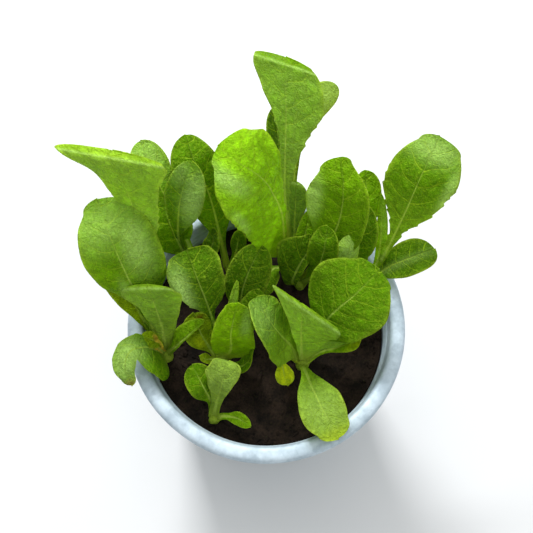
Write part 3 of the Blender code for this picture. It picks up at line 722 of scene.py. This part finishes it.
    def add_to(self, parts: MeshParts) -> None:
        """Join both faces along the margin and add them to the plant's mesh.

        Args:
            parts: The plant's gathered mesh.
        """
        grids = self.surface()
        share, place, across = grids["share"], grids["place"], grids["across"]
        rows, columns = share.shape
        number = np.arange(rows * columns).reshape(rows, columns)
        under = number + rows * columns
        quads = [
            np.stack([number[:-1, :-1], number[:-1, 1:], number[1:, 1:], number[1:, :-1]], -1).reshape(-1, 4),
            np.stack([under[:-1, :-1], under[1:, :-1], under[1:, 1:], under[:-1, 1:]], -1).reshape(-1, 4),
        ]
        around = np.concatenate([number[0, :-1], number[:-1, -1], number[-1, :0:-1], number[:0:-1, 0]])
        after = np.roll(around, -1)
        quads.append(np.stack([around, around + rows * columns, after + rows * columns, after], -1))
        net = np.stack([across, share * self.length + 3 * self.offset, grids["phase"]], -1).reshape(-1, 3)
        tint, painted_sheen_mask = self._tints(share, place, across)
        tint = tint.reshape(-1, 3)
        forms = [np.stack([np.abs(place), share, np.full(share.shape, flag)], -1).reshape(-1, 3)
                 for flag in (0.0, 1.0)]
        points = np.concatenate([grids["top"].reshape(-1, 3), grids["bottom"].reshape(-1, 3)])
        skin = SkinValues(np.concatenate([net, net]), np.concatenate(forms), np.concatenate([tint, tint]),
                          np.concatenate([painted_sheen_mask.ravel(), np.zeros(rows * columns)]))
        parts.add(points, np.concatenate(quads), skin)


@dataclass
class Pot:
    """Tapered sheet steel pot with a rolled rim."""

    height: float = 130.0
    rim_radius: float = 75.0
    rim_half_width: float = 4.2
    rim_half_height: float = 3.6
    rim_arc: float = 255.0
    rim_squareness: float = 0.72
    base_radius: float = 56.0
    base_edge: float = 1.0
    sheet: float = 1.2
    steps: int = 160
    rim_steps: int = 26
    wall_rows: int = 26
    beads: tuple[float, ...] = (115.5, 119.0, 122.5)
    bead_rise: float = 0.7
    seam_width: float = 5.0
    seam_rise: float = 0.35
    seam_angle: float = 100.0

    def wall_radius(self, height: float) -> float:
        """Inner radius of the wall.

        Args:
            height: Height above the underside.

        Returns:
            Radius in millimetres.
        """
        top = self.rim_radius - 2 * self.rim_half_width
        share = (height - self.sheet) / (self.height - self.sheet)
        return self.base_radius - self.sheet + (top - self.base_radius + self.sheet) * share

    def profile(self) -> list[tuple[float, float]]:
        """Radius and height from the inner floor over the rim to the underside."""
        centre = self.rim_radius - self.rim_half_width
        level = self.height - self.rim_half_height
        points = [(radius, self.sheet) for radius in np.linspace(0, self.base_radius - self.sheet - 1.5, 6)]
        lower = np.linspace(self.sheet + 1.2, 112.0, self.wall_rows // 2)
        for height in np.concatenate([lower, np.linspace(112.6, level - 1.0, 2 * self.wall_rows)]):
            points.append((self.wall_radius(height), height))
        for angle in np.radians(180 - np.linspace(0, self.rim_arc, self.rim_steps)):
            across, up = (math.copysign(abs(part) ** self.rim_squareness, part)
                          for part in (math.cos(angle), math.sin(angle)))
            points.append((centre + self.rim_half_width * across, level + self.rim_half_height * up))
        start = points[-1][1] - self.sheet / 2
        for height in np.linspace(start, 2 * self.base_edge, self.wall_rows):
            points.append((self.wall_radius(height) + self.sheet, height))
        points += [(self.base_radius - 0.2, 0.6), (self.base_radius - self.base_edge, 0.0)]
        points += [(radius, 0.0) for radius in np.linspace(self.base_radius - 3, 0, 4)]
        return points

    def build(self, finish: SteelFinish) -> bpy.types.Object:
        """Turn the profile about the axis, with slight dents and a lapped seam.

        Args:
            finish: The steel's finish.

        Returns:
            The pot.
        """
        profile = self.profile()
        bm = bmesh.new()
        rings = []
        for radius, height in profile:
            if radius < 0.01:
                rings.append([bm.verts.new((0, 0, height * MM))])
                continue
            ring = []
            for step in range(self.steps):
                angle = 2 * math.pi * step / self.steps
                shift = self._dent(angle, radius, height)
                ring.append(bm.verts.new(((radius + shift) * math.cos(angle) * MM,
                                          (radius + shift) * math.sin(angle) * MM, height * MM)))
            rings.append(ring)
        for inner, outer in zip(rings, rings[1:]):
            for step in range(self.steps):
                after = (step + 1) % self.steps
                if len(inner) == 1:
                    bm.faces.new((inner[0], outer[step], outer[after]))
                elif len(outer) == 1:
                    bm.faces.new((inner[step], outer[0], inner[after]))
                else:
                    bm.faces.new((inner[step], outer[step], outer[after], inner[after]))
        bmesh.ops.recalc_face_normals(bm, faces=bm.faces[:])
        piece = new_piece("galvanised_pot", bm)
        piece.data.materials.append(finish.build())
        piece.data.shade_smooth()
        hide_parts("pot")
        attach(piece, "root")
        return piece

    def _dent(self, angle: float, radius: float, height: float) -> float:
        """How far the sheet stands off its true radius.

        Args:
            angle: Angle about the axis.
            radius: True radius.
            height: Height above the underside.

        Returns:
            Shift in millimetres, inwards below zero.
        """
        if height < 3:
            return 0.0
        spot = Vector((math.cos(angle) * 1.7, math.sin(angle) * 1.7, height * 0.02))
        shift = -0.35 * abs(noise.noise(spot))
        outside = radius > self.wall_radius(height) + 0.5 * self.sheet
        if not outside:
            shift -= self.bead_rise * sum(math.exp(-((height - bead) / 0.8) ** 2) for bead in self.beads)
        if outside and height < self.height - 3 * self.rim_half_height:
            off = abs(math.remainder(angle - math.radians(self.seam_angle), 2 * math.pi)) * radius
            shift += self.seam_rise * float(np.clip(self.seam_width - off, 0, 1))
        return shift


def new_piece(name: str, bm: bmesh.types.BMesh) -> bpy.types.Object:
    """Make an object of a bmesh and link it.

    Args:
        name: Name of the piece.
        bm: Its mesh, which is freed.

    Returns:
        The object.
    """
    mesh = bpy.data.meshes.new(name)
    bm.to_mesh(mesh)
    bm.free()
    piece = bpy.data.objects.new(name, mesh)
    bpy.context.scene.collection.objects.link(piece)
    return piece


@dataclass
class SoilBed:
    """Potting mix that fills the pot, with loose crumbs on top."""

    pot: Pot
    level: float = 112.0
    relief: float = 1.4
    gap: float = 0.7
    rings: int = 70
    steps: int = 150
    crumbs: int = 900
    crumb_corners: int = 9
    fine_share: float = 0.8
    fine_size: tuple[float, float] = (0.5, 1.1)
    coarse_size: tuple[float, float] = (1.1, 2.0)
    fibre_share: float = 0.18
    fibre_stretch: tuple[float, float] = (2.0, 4.0)
    crumb_stretch: tuple[float, float] = (0.8, 1.5)
    seed: int = 11

    def surface(self, x: float, y: float) -> float:
        """Height of the crumbly surface.

        Args:
            x: Place along X in millimetres.
            y: Place along Y in millimetres.

        Returns:
            Height in millimetres.
        """
        lump = noise.noise(Vector((x * 0.09, y * 0.09, 0.4)))
        crumb = noise.noise(Vector((x * 0.27, y * 0.27, 3.1)))
        grain = noise.noise(Vector((x * 0.8, y * 0.8, 7.7)))
        return self.level - self.relief * (0.45 - 0.35 * lump - 0.15 * crumb - 0.3 * grain)

    def build(self, finish: SoilFinish) -> list[bpy.types.Object]:
        """Make the bed and its crumbs.

        Args:
            finish: The mix's finish.

        Returns:
            Both pieces.
        """
        material = finish.build()
        pieces = [self._bed(), self._crumbs()]
        for piece in pieces:
            piece.data.materials.append(material)
            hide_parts("soil")
            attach(piece, "root")
        return pieces

    def _bed(self) -> bpy.types.Object:
        """The filled body with its rough top."""
        edge = self.pot.wall_radius(self.level) - self.gap
        foot = self.pot.wall_radius(self.pot.sheet) - self.gap
        bm = bmesh.new()
        centre = bm.verts.new((0, 0, self.surface(0, 0) * MM))
        rows = []
        for ring in range(1, self.rings + 1):
            radius = edge * ring / self.rings
            row = []
            for step in range(self.steps):
                angle = 2 * math.pi * step / self.steps
                x, y = radius * math.cos(angle), radius * math.sin(angle)
                row.append(bm.verts.new((x * MM, y * MM, self.surface(x, y) * MM)))
            rows.append(row)
        floor = (self.pot.sheet + 0.3) * MM
        rows.append([bm.verts.new((v.co.x * foot / edge, v.co.y * foot / edge, floor)) for v in rows[-1]])
        middle = bm.verts.new((0, 0, floor))
        for step in range(self.steps):
            after = (step + 1) % self.steps
            bm.faces.new((centre, rows[0][step], rows[0][after]))
            for inner, outer in zip(rows, rows[1:]):
                bm.faces.new((inner[step], outer[step], outer[after], inner[after]))
            bm.faces.new((rows[-1][after], rows[-1][step], middle))
        bmesh.ops.recalc_face_normals(bm, faces=bm.faces[:])
        piece = new_piece("potting_mix_bed", bm)
        piece.data.shade_smooth()
        return piece

    def _crumbs(self) -> bpy.types.Object:
        """Loose crumbs and bits of fibre on the surface, sunk in by a third."""
        draw = random.Random(self.seed)
        edge = self.pot.wall_radius(self.level) - 2.5
        bm = bmesh.new()
        for _ in range(self.crumbs):
            radius = edge * math.sqrt(draw.random())
            angle = draw.uniform(0, 2 * math.pi)
            x, y = radius * math.cos(angle), radius * math.sin(angle)
            size = draw.uniform(*(self.fine_size if draw.random() < self.fine_share else self.coarse_size))
            fibre = draw.random() < self.fibre_share
            stretch = draw.uniform(*(self.fibre_stretch if fibre else self.crumb_stretch))
            cloud = [Vector((draw.gauss(0, 1), draw.gauss(0, 1), draw.gauss(0, 1))).normalized()
                     for _ in range(self.crumb_corners)]
            spin, tip = draw.uniform(0, 6.28), draw.uniform(-.4, .4)
            turn = Matrix.Rotation(spin, 3, "Z") @ Matrix.Rotation(tip, 3, "Y")
            verts = []
            for spot in cloud:
                spot = turn @ Vector((spot.x * size * stretch, spot.y * size, spot.z * size * 0.7))
                verts.append(bm.verts.new((spot + Vector((x, y, self.surface(x, y) + size * 0.2))) * MM))
            hull = bmesh.ops.convex_hull(bm, input=verts)
            loose = [v for v in hull["geom_interior"] if isinstance(v, bmesh.types.BMVert)]
            bmesh.ops.delete(bm, geom=loose, context="VERTS")
        return new_piece("potting_mix_crumbs", bm)


class Graph:
    """Short hand for adding and joining nodes of one node tree."""

    def __init__(self, tree: bpy.types.NodeTree) -> None:
        """Keep the tree.

        Args:
            tree: A material's or a group's tree.
        """
        self.tree = tree

    def node(self, kind: str, **settings: object) -> bpy.types.Node:
        """Add a node.

        Args:
            kind: Node type without its Shader prefix.
            settings: Properties to set on it.

        Returns:
            The node.
        """
        node = self.tree.nodes.new("ShaderNode" + kind)
        for key, value in settings.items():
            setattr(node, key, value)
        return node

    def put(self, socket: bpy.types.NodeSocket, value: object) -> None:
        """Join a socket to an output, or set it.

        Args:
            socket: Input to fill.
            value: An output socket, a number or a colour.
        """
        if isinstance(value, bpy.types.NodeSocket):
            self.tree.links.new(value, socket)
        elif isinstance(value, tuple) and len(value) == 3 and socket.type == "RGBA":
            socket.default_value = (*value, 1.0)
        else:
            socket.default_value = value

    def calc(self, operation: str, first: object, second: object = 0.0, third: object = 0.0,
             clamp: bool = False) -> bpy.types.NodeSocket:
        """One Math node.

        Args:
            operation: Its operation.
            first: First value.
            second: Second value.
            third: Third value.
            clamp: Keep the result from 0 to 1.

        Returns:
            Its result.
        """
        node = self.node("Math", operation=operation, use_clamp=clamp)
        for socket, value in zip(node.inputs, (first, second, third)):
            self.put(socket, value)
        return node.outputs[0]

    def step(self, value: object, low: float, high: float, start: float = 0.0,
             end: float = 1.0) -> bpy.types.NodeSocket:
        """Smooth step from start to end as a value goes from low to high.

        Args:
            value: The value.
            low: Where the step begins.
            high: Where it ends.
            start: Result before it.
            end: Result after it.

        Returns:
            The result.
        """
        node = self.node("MapRange", interpolation_type="SMOOTHSTEP")
        for socket, item in zip(node.inputs, (value, low, high, start, end)):
            self.put(socket, item)
        return node.outputs[0]

    def blend(self, share: object, first: object, second: object,
              way: str = "MIX") -> bpy.types.NodeSocket:
        """Mix two colours.

        Args:
            share: How much of the second.
            first: First colour.
            second: Second colour.
            way: Blend type.

        Returns:
            The mixed colour.
        """
        node = self.node("Mix", data_type="RGBA", blend_type=way)
        self.put(node.inputs[0], share)
        self.put(node.inputs[6], first)
        self.put(node.inputs[7], second)
        return node.outputs[2]

    def mask(self, effects: SharedEffects, place: bpy.types.NodeSocket, broad: float,
             fine: float) -> bpy.types.NodeSocket:
        """Uneven mask from the shared mottle.

        Args:
            effects: Shared node groups.
            place: Coordinates to read it at.
            broad: Repeats of the broad noise for each unit of the coordinates.
            fine: Repeats of the fine noise.

        Returns:
            The mask.
        """
        mottle = self.node("Group", node_tree=effects.mottle)
        for name, value in (("Vector", place), ("Broad", broad), ("Fine", fine)):
            self.put(mottle.inputs[name], value)
        return mottle.outputs["Mask"]

    def bump(self, height: bpy.types.NodeSocket, strength: float, depth: float) -> bpy.types.NodeSocket:
        """Normal of a surface with fine relief.

        Args:
            height: Relief from 0 to 1.
            strength: How much of it shows.
            depth: Its depth in millimetres.

        Returns:
            The normal.
        """
        node = self.node("Bump")
        node.inputs["Strength"].default_value = strength
        node.inputs["Distance"].default_value = depth * MM
        self.put(node.inputs["Height"], height)
        return node.outputs[0]


def new_group(name: str, inputs: dict[str, str], outputs: dict[str, str]) -> tuple[Graph, dict, dict]:
    """Start a shader node group with named sockets.

    Args:
        name: Name of the group.
        inputs: Socket type for each input.
        outputs: Socket type for each output.

    Returns:
        Its graph, its inputs inside and the sockets that its outputs take.
    """
    tree = bpy.data.node_groups.new(name, "ShaderNodeTree")
    for label, kind in inputs.items():
        tree.interface.new_socket(label, in_out="INPUT", socket_type="NodeSocket" + kind)
    for label, kind in outputs.items():
        tree.interface.new_socket(label, in_out="OUTPUT", socket_type="NodeSocket" + kind)
    start = tree.nodes.new("NodeGroupInput")
    end = tree.nodes.new("NodeGroupOutput")
    return Graph(tree), {s.name: s for s in start.outputs}, {s.name: s for s in end.inputs}


class SharedEffects:
    """Node groups that more than one material uses."""

    def __init__(self) -> None:
        """Build each group once."""
        self.mottle = self._mottle()
        self.veins = self._veins()

    @staticmethod
    def _mottle() -> bpy.types.NodeTree:
        """Broad and fine noise as one mask from 0 to 1, for uneven colour and gloss."""
        graph, given, wanted = new_group(
            "mottle", {"Vector": "Vector", "Broad": "Float", "Fine": "Float"}, {"Mask": "Float"})
        broad = graph.node("TexNoise")
        fine = graph.node("TexNoise")
        for node, scale, detail in ((broad, "Broad", 2.0), (fine, "Fine", 4.0)):
            graph.put(node.inputs["Vector"], given["Vector"])
            graph.put(node.inputs["Scale"], given[scale])
            graph.put(node.inputs["Detail"], detail)
        both = graph.calc("MULTIPLY_ADD", fine.outputs[0], 0.4, graph.calc("MULTIPLY", broad.outputs[0], 0.6))
        graph.put(wanted["Mask"], graph.step(both, 0.32, 0.68))
        return graph.tree

    @staticmethod
    def _veins() -> bpy.types.NodeTree:
        """Midrib, side veins, the net between them and the raised cells inside the net."""
        graph, given, wanted = new_group(
            "leaf_veins", {"Net": "Vector", "Form": "Vector"},
            {"Rib": "Float", "Vein": "Float", "Web": "Float", "Cells": "Float"})
        net = graph.node("SeparateXYZ")
        form = graph.node("SeparateXYZ")
        graph.put(net.inputs[0], given["Net"])
        graph.put(form.inputs[0], given["Form"])
        edge, share = form.outputs[0], form.outputs[1]
        left = graph.calc("SUBTRACT", 1.0, share)
        girth = graph.calc("MULTIPLY_ADD", graph.calc("MULTIPLY", left, left), 1.5, 0.36)
        middle = graph.calc("DIVIDE", graph.calc("ABSOLUTE", net.outputs[0]), girth)
        rib = graph.step(middle, 0.3, 1.0, 1.0, 0.0)
        graph.put(wanted["Rib"], graph.calc("MULTIPLY", rib, graph.step(share, 0.6, 0.97, 1.0, 0.12)))
        wobble = graph.node("TexNoise", noise_dimensions="2D")
        graph.put(wobble.inputs["Vector"], given["Net"])
        graph.put(wobble.inputs["Scale"], 0.3)
        phase = graph.calc("MULTIPLY_ADD", wobble.outputs[0], 0.12, graph.calc("SUBTRACT", net.outputs[2], 0.06))
        near = graph.calc("ABSOLUTE", graph.calc("SUBTRACT", graph.calc("FRACT", phase), 0.5))
        line = graph.step(near, 0.012, 0.046, 1.0, 0.0)
        inner = graph.step(edge, 0.5, 0.95, 1.0, 0.15)
        blade = graph.step(share, 0.16, 0.34)
        graph.put(wanted["Vein"], graph.calc("MULTIPLY", graph.calc("MULTIPLY", line, inner), blade))
        bent = graph.node("TexNoise", noise_dimensions="2D")
        graph.put(bent.inputs["Vector"], given["Net"])
        graph.put(bent.inputs["Scale"], 0.32)
        moved = graph.node("VectorMath", operation="MULTIPLY_ADD")
        graph.put(moved.inputs[0], bent.outputs[1])
        moved.inputs[1].default_value = (5.0, 5.0, 0.0)
        graph.put(moved.inputs[2], given["Net"])
        nets = []
        for scale, low, high in ((0.155, 0.010, 0.042), (0.42, 0.015, 0.085)):
            cells = graph.node("TexVoronoi", feature="DISTANCE_TO_EDGE", voronoi_dimensions="2D")
            graph.put(cells.inputs["Vector"], moved.outputs[0])
            graph.put(cells.inputs["Scale"], scale)
            far = cells.outputs["Distance"]
            nets.append((graph.step(far, low, high, 1.0, 0.0), graph.step(far, 0.0, 0.38)))
        web = graph.calc("MAXIMUM", nets[0][0], graph.calc("MULTIPLY", nets[1][0], 0.5))
        graph.put(wanted["Web"], graph.calc("MULTIPLY", web, blade))
        cushion = graph.calc("MULTIPLY_ADD", nets[0][1], 0.6, graph.calc("MULTIPLY", nets[1][1], 0.4))
        graph.put(wanted["Cells"], graph.calc("MULTIPLY", cushion, blade))
        return graph.tree


@dataclass(frozen=True)
class LeafFinish:
    """Living leaf: satin upper face, paler underside, light shines through."""

    name: str = "lettuce_blade"
    vein_colour: Colour = (0.42, 0.66, 0.03)
    rib_colour: Colour = (0.52, 0.74, 0.12)
    stalk_colour: Colour = (0.34, 0.48, 0.05)
    # Whitish colour of the painted sheen.
    painted_sheen_colour: Colour = (0.58, 0.88, 0.24)
    under_colour: Colour = (0.34, 0.50, 0.03)
    shine_through: Colour = (1.9, 1.5, 0.2)
    through: float = 0.42
    roughness: float = 0.42
    specular: float = 0.25
    specular_tint: Colour = (0.8, 1.0, 0.2)
    relief: float = 0.75

    def build(self, effects: SharedEffects) -> bpy.types.Material:
        """Make the material.

        Args:
            effects: Shared node groups.

        Returns:
            The material.
        """
        material = bpy.data.materials.new(self.name)
        material.use_nodes = True
        material.node_tree.nodes.clear()
        graph = Graph(material.node_tree)
        net = graph.node("Attribute", attribute_name="leaf_net")
        form = graph.node("Attribute", attribute_name="leaf_form")
        tint = graph.node("Attribute", attribute_name="leaf_tint")
        parts = graph.node("SeparateXYZ")
        graph.put(parts.inputs[0], form.outputs["Vector"])
        share, under = parts.outputs[1], parts.outputs[2]
        veins = graph.node("Group", node_tree=effects.veins)
        graph.put(veins.inputs["Net"], net.outputs["Vector"])
        graph.put(veins.inputs["Form"], form.outputs["Vector"])
        painted_sheen = graph.node("Attribute", attribute_name="leaf_painted_sheen")
        mottle = graph.mask(effects, net.outputs["Vector"], 0.13, 0.5)
        grain = graph.mask(effects, net.outputs["Vector"], 0.9, 2.2)
        dark = graph.blend(1.0, tint.outputs["Color"], (1.3, 1.24, 0.4), "MULTIPLY")
        light = graph.blend(1.0, tint.outputs["Color"], (2.0, 1.78, 0.8), "MULTIPLY")
        colour = graph.blend(mottle, dark, light)
        # Painted shade: darker towards the edges of the raised cells, in the creases between them.
        fold = graph.blend(1.0, colour, (0.72, 0.74, 0.6), "MULTIPLY")
        colour = graph.blend(veins.outputs["Cells"], fold, colour)
        # Painted highlight: pale streaks on the raised crinkles.
        crinkle = graph.mask(effects, net.outputs["Vector"], 0.7, 1.7)
        colour = graph.blend(graph.step(crinkle, 0.55, 1.0, 0.0, 0.32), colour, self.vein_colour)
        lines = graph.calc("MULTIPLY_ADD", veins.outputs["Web"], 0.28,
                          graph.calc("MULTIPLY", veins.outputs["Vein"], 0.6), clamp=True)
        colour = graph.blend(lines, colour, self.vein_colour)
        # Painted sheen: whitish where the mesh marks glancing light or a crest highlight, broken up by the
        # grain.
        painted_sheen_share = graph.calc("MULTIPLY", painted_sheen.outputs["Fac"], graph.step(grain, 0.1, 0.9, 0.62, 1.1))
        colour = graph.blend(painted_sheen_share, colour, self.painted_sheen_colour)
        colour = graph.blend(graph.calc("MULTIPLY", veins.outputs["Rib"], 0.8), colour, self.rib_colour)
        colour = graph.blend(graph.step(share, 0.03, 0.3, 0.8, 0.0), colour, self.stalk_colour)
        colour = graph.blend(graph.calc("MULTIPLY", under, 0.4), colour, self.under_colour)
        shader = graph.node("BsdfPrincipled")
        graph.put(shader.inputs["Base Color"], colour)
        gloss = graph.step(grain, 0.0, 1.0, self.roughness - 0.07, self.roughness + 0.07)
        graph.put(shader.inputs["Roughness"], gloss)
        shader.inputs["Specular IOR Level"].default_value = self.specular
        shader.inputs["Specular Tint"].default_value = (*self.specular_tint, 1.0)
        sunk = graph.calc("MULTIPLY_ADD", veins.outputs["Web"], 0.3,
                          graph.calc("MULTIPLY", veins.outputs["Vein"], 0.5))
        raised = graph.calc("MULTIPLY_ADD", grain, 0.4, graph.calc("MULTIPLY", veins.outputs["Cells"], 0.6))
        raised = graph.calc("MULTIPLY_ADD", crinkle, 0.45, raised)
        normal = graph.bump(graph.calc("SUBTRACT", raised, sunk), 1.0, self.relief)
        graph.put(shader.inputs["Normal"], normal)
        passing = graph.node("BsdfTranslucent")
        graph.put(passing.inputs["Color"], graph.blend(1.0, colour, self.shine_through, "MULTIPLY"))
        graph.put(passing.inputs["Normal"], normal)
        mixed = graph.node("MixShader")
        mixed.inputs[0].default_value = self.through
        graph.put(mixed.inputs[1], shader.outputs[0])
        graph.put(mixed.inputs[2], passing.outputs[0])
        output = graph.node("OutputMaterial")
        graph.put(output.inputs[0], mixed.outputs[0])
        return material


@dataclass(frozen=True)
class SteelFinish:
    """Dull hot dipped zinc with a faint spangle."""

    effects: SharedEffects
    bright: Colour = (0.52, 0.62, 0.69)
    dull: Colour = (0.30, 0.38, 0.44)
    metallic: float = 0.22

    def build(self) -> bpy.types.Material:
        """Make the material."""
        material = bpy.data.materials.new("galvanised_sheet")
        material.use_nodes = True
        graph = Graph(material.node_tree)
        shader = material.node_tree.nodes["Principled BSDF"]
        place = graph.node("TexCoord").outputs["Object"]
        mottle = graph.mask(self.effects, place, 70.0, 420.0)
        spangle = graph.node("TexVoronoi")
        graph.put(spangle.inputs["Vector"], place)
        graph.put(spangle.inputs["Scale"], 170.0)
        grey = graph.node("SeparateColor")
        graph.put(grey.inputs[0], spangle.outputs["Color"])
        mask = graph.calc("MULTIPLY_ADD", grey.outputs[0], 0.3, graph.calc("MULTIPLY", mottle, 0.7))
        graph.put(shader.inputs["Base Color"], graph.blend(mask, self.dull, self.bright))
        graph.put(shader.inputs["Roughness"], graph.step(mask, 0.0, 1.0, 0.68, 0.52))
        shader.inputs["Metallic"].default_value = self.metallic
        graph.put(shader.inputs["Normal"], graph.bump(mask, 0.25, 0.1))
        return material


@dataclass(frozen=True)
class SoilFinish:
    """Moist dark potting mix."""

    effects: SharedEffects
    damp: Colour = (0.004, 0.003, 0.002)
    dry: Colour = (0.022, 0.014, 0.009)

    def build(self) -> bpy.types.Material:
        """Make the material."""
        material = bpy.data.materials.new("potting_mix_crumbly")
        material.use_nodes = True
        graph = Graph(material.node_tree)
        shader = material.node_tree.nodes["Principled BSDF"]
        place = graph.node("TexCoord").outputs["Object"]
        mottle = graph.mask(self.effects, place, 130.0, 900.0)
        graph.put(shader.inputs["Base Color"], graph.blend(mottle, self.damp, self.dry))
        shader.inputs["Roughness"].default_value = 0.92
        shader.inputs["Specular IOR Level"].default_value = 0.12
        graph.put(shader.inputs["Normal"], graph.bump(mottle, 0.9, 0.5))
        return material


@dataclass
class LettucePlant:
    """One plant: a low crown with its leaves."""

    plan: PlantPlan
    growth: Growth
    soil_level: float
    seed: int

    def build(self, material: bpy.types.Material) -> bpy.types.Object:
        """Make the plant's piece.

        Args:
            material: The leaves' material.

        Returns:
            The piece.
        """
        parts = MeshParts()
        for number, leaf in enumerate(self.plan.leaves):
            LeafShape(leaf, self.growth, self.seed * 20 + number).add_to(parts)
        self._add_crown(parts)
        piece = parts.to_object(self.plan.piece)
        piece.data.transform(Matrix.Translation((0, 0, self.soil_level * MM)))
        piece.data.materials.append(material)
        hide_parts(self.plan.node)
        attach(piece, "root")
        return piece

    def _add_crown(self, parts: MeshParts) -> None:
        """Add the short stem that the leaves grow from.

        Args:
            parts: The plant's gathered mesh.
        """
        bases = np.array([leaf.spine[0] for leaf in self.plan.leaves], dtype=float)
        centre = bases.mean(axis=0)
        radius = self.growth.crown_radius + self.growth.crown_radius_per_leaf * len(bases)
        sides, rows = 20, 9
        points = []
        for row in range(rows):
            share = row / (rows - 1)
            height = -3.0 + (self.growth.crown_top + 2.0) * share
            girth = radius * (0.8 + 0.2 * math.sin(share * math.pi)) * math.sqrt(max(0.02, 1 - share ** 4))
            for side in range(sides):
                angle = 2 * math.pi * side / sides
                reach = girth * (1 + 0.08 * math.sin(3 * angle + self.seed))
                points.append((centre[0] + reach * math.cos(angle),
                               centre[1] + reach * math.sin(angle), height))
        number = np.arange(rows * sides).reshape(rows, sides)
        after = np.roll(number, -1, axis=1)
        quads = [np.stack([number[:-1], after[:-1], after[1:], number[1:]], -1).reshape(-1, 4)]
        for ring in (number[0][::-1], number[-1]):
            quads.append(np.array([[ring[k], ring[k + 1], ring[-2 - k], ring[-1 - k]]
                                   for k in range(sides // 2 - 1)]))
        points = np.array(points)
        skin = SkinValues(points * (1.0, 1.0, 0.0), np.tile((0.5, 0.04, 0.0), (len(points), 1)),
                          np.tile(Tone.PALE.value, (len(points), 1)), np.zeros(len(points)))
        parts.add(points, np.concatenate(quads), skin)


@dataclass
class Studio:
    """Pale floor, soft light and the camera at the photograph's angle."""

    eye: Place = (-0.8, -142.4, 592.8)
    tilt: float = 20.6
    roll: float = 1.6
    focal: float = 900.0
    frame: float = 533.0
    sensor: float = 36.0
    floor_size: float = 5.0
    floor_colour: Colour = (0.64, 0.65, 0.66)

    def build(self) -> None:
        """Make floor, lights, world and camera."""
        self._floor()
        self._light("key", (-0.32, 0.95, 1.05), 0.34, 21.0)
        self._light("overhead", (-0.1, 0.30, 1.5), 1.1, 8.0)
        self._light("front", (0.75, -0.7, 0.9), 0.9, 5.0)
        world = bpy.data.worlds.new("studio")
        world.use_nodes = True
        background = world.node_tree.nodes["Background"]
        background.inputs[0].default_value = (0.98, 1.0, 0.98, 1.0)
        background.inputs[1].default_value = 0.5
        bpy.context.scene.world = world
        bpy.context.scene.view_settings.view_transform = "Standard"
        self._camera()

    def _floor(self) -> None:
        """The pale ground that the pot stands on."""
        bm = bmesh.new()
        bmesh.ops.create_grid(bm, x_segments=1, y_segments=1, size=self.floor_size / 2)
        floor = new_piece("studio_floor", bm)
        material = bpy.data.materials.new("studio_floor")
        material.use_nodes = True
        shader = material.node_tree.nodes["Principled BSDF"]
        shader.inputs["Base Color"].default_value = (*self.floor_colour, 1.0)
        shader.inputs["Roughness"].default_value = 0.8
        floor.data.materials.append(material)

    @staticmethod
    def _light(name: str, spot: Place, size: float, power: float) -> None:
        """A square soft light aimed at the plants.

        Args:
            name: Name of the light.
            spot: Its place in metres.
            size: Its width in metres.
            power: Its power in watts.
        """
        lamp = bpy.data.lights.new(name, "AREA")
        lamp.size = size
        lamp.energy = power
        item = bpy.data.objects.new(name, lamp)
        item.location = spot
        aim = Vector((0, 0.02, 0.14)) - Vector(spot)
        item.rotation_euler = aim.to_track_quat("-Z", "Y").to_euler()
        bpy.context.scene.collection.objects.link(item)

    def _camera(self) -> None:
        """The camera where the photograph was taken from."""
        tilt, roll = math.radians(self.tilt), math.radians(self.roll)
        ahead = Vector((0, math.sin(tilt), -math.cos(tilt)))
        right = Vector((1, 0, 0))
        up = right.cross(ahead)
        turned_right = math.cos(roll) * right + math.sin(roll) * up
        turned_up = -math.sin(roll) * right + math.cos(roll) * up
        camera = bpy.data.cameras.new("camera")
        camera.sensor_width = self.sensor
        camera.lens = self.focal / self.frame * self.sensor
        camera.clip_start = 0.01
        item = bpy.data.objects.new("camera", camera)
        matrix = Matrix((turned_right, turned_up, -ahead)).transposed().to_4x4()
        matrix.translation = Vector(self.eye) * MM
        item.matrix_world = matrix
        bpy.context.scene.collection.objects.link(item)
        bpy.context.scene.camera = item


def main() -> None:
    """Load the frame, build every sub-assembly and the studio."""
    logging.basicConfig(level=logging.INFO, format="%(message)s")
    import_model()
    effects = SharedEffects()
    pot = Pot()
    log.info("made %s", pot.build(SteelFinish(effects)).name)
    soil = SoilBed(pot)
    for piece in soil.build(SoilFinish(effects)):
        log.info("made %s", piece.name)
    growth = Growth()
    blade = LeafFinish().build(effects)
    for number, plan in enumerate(PLANTS):
        plant = LettucePlant(plan, growth, soil.level, number + 1)
        log.info("made %s", plant.build(blade).name)
    Studio().build()


if __name__ == "__main__":
    main()
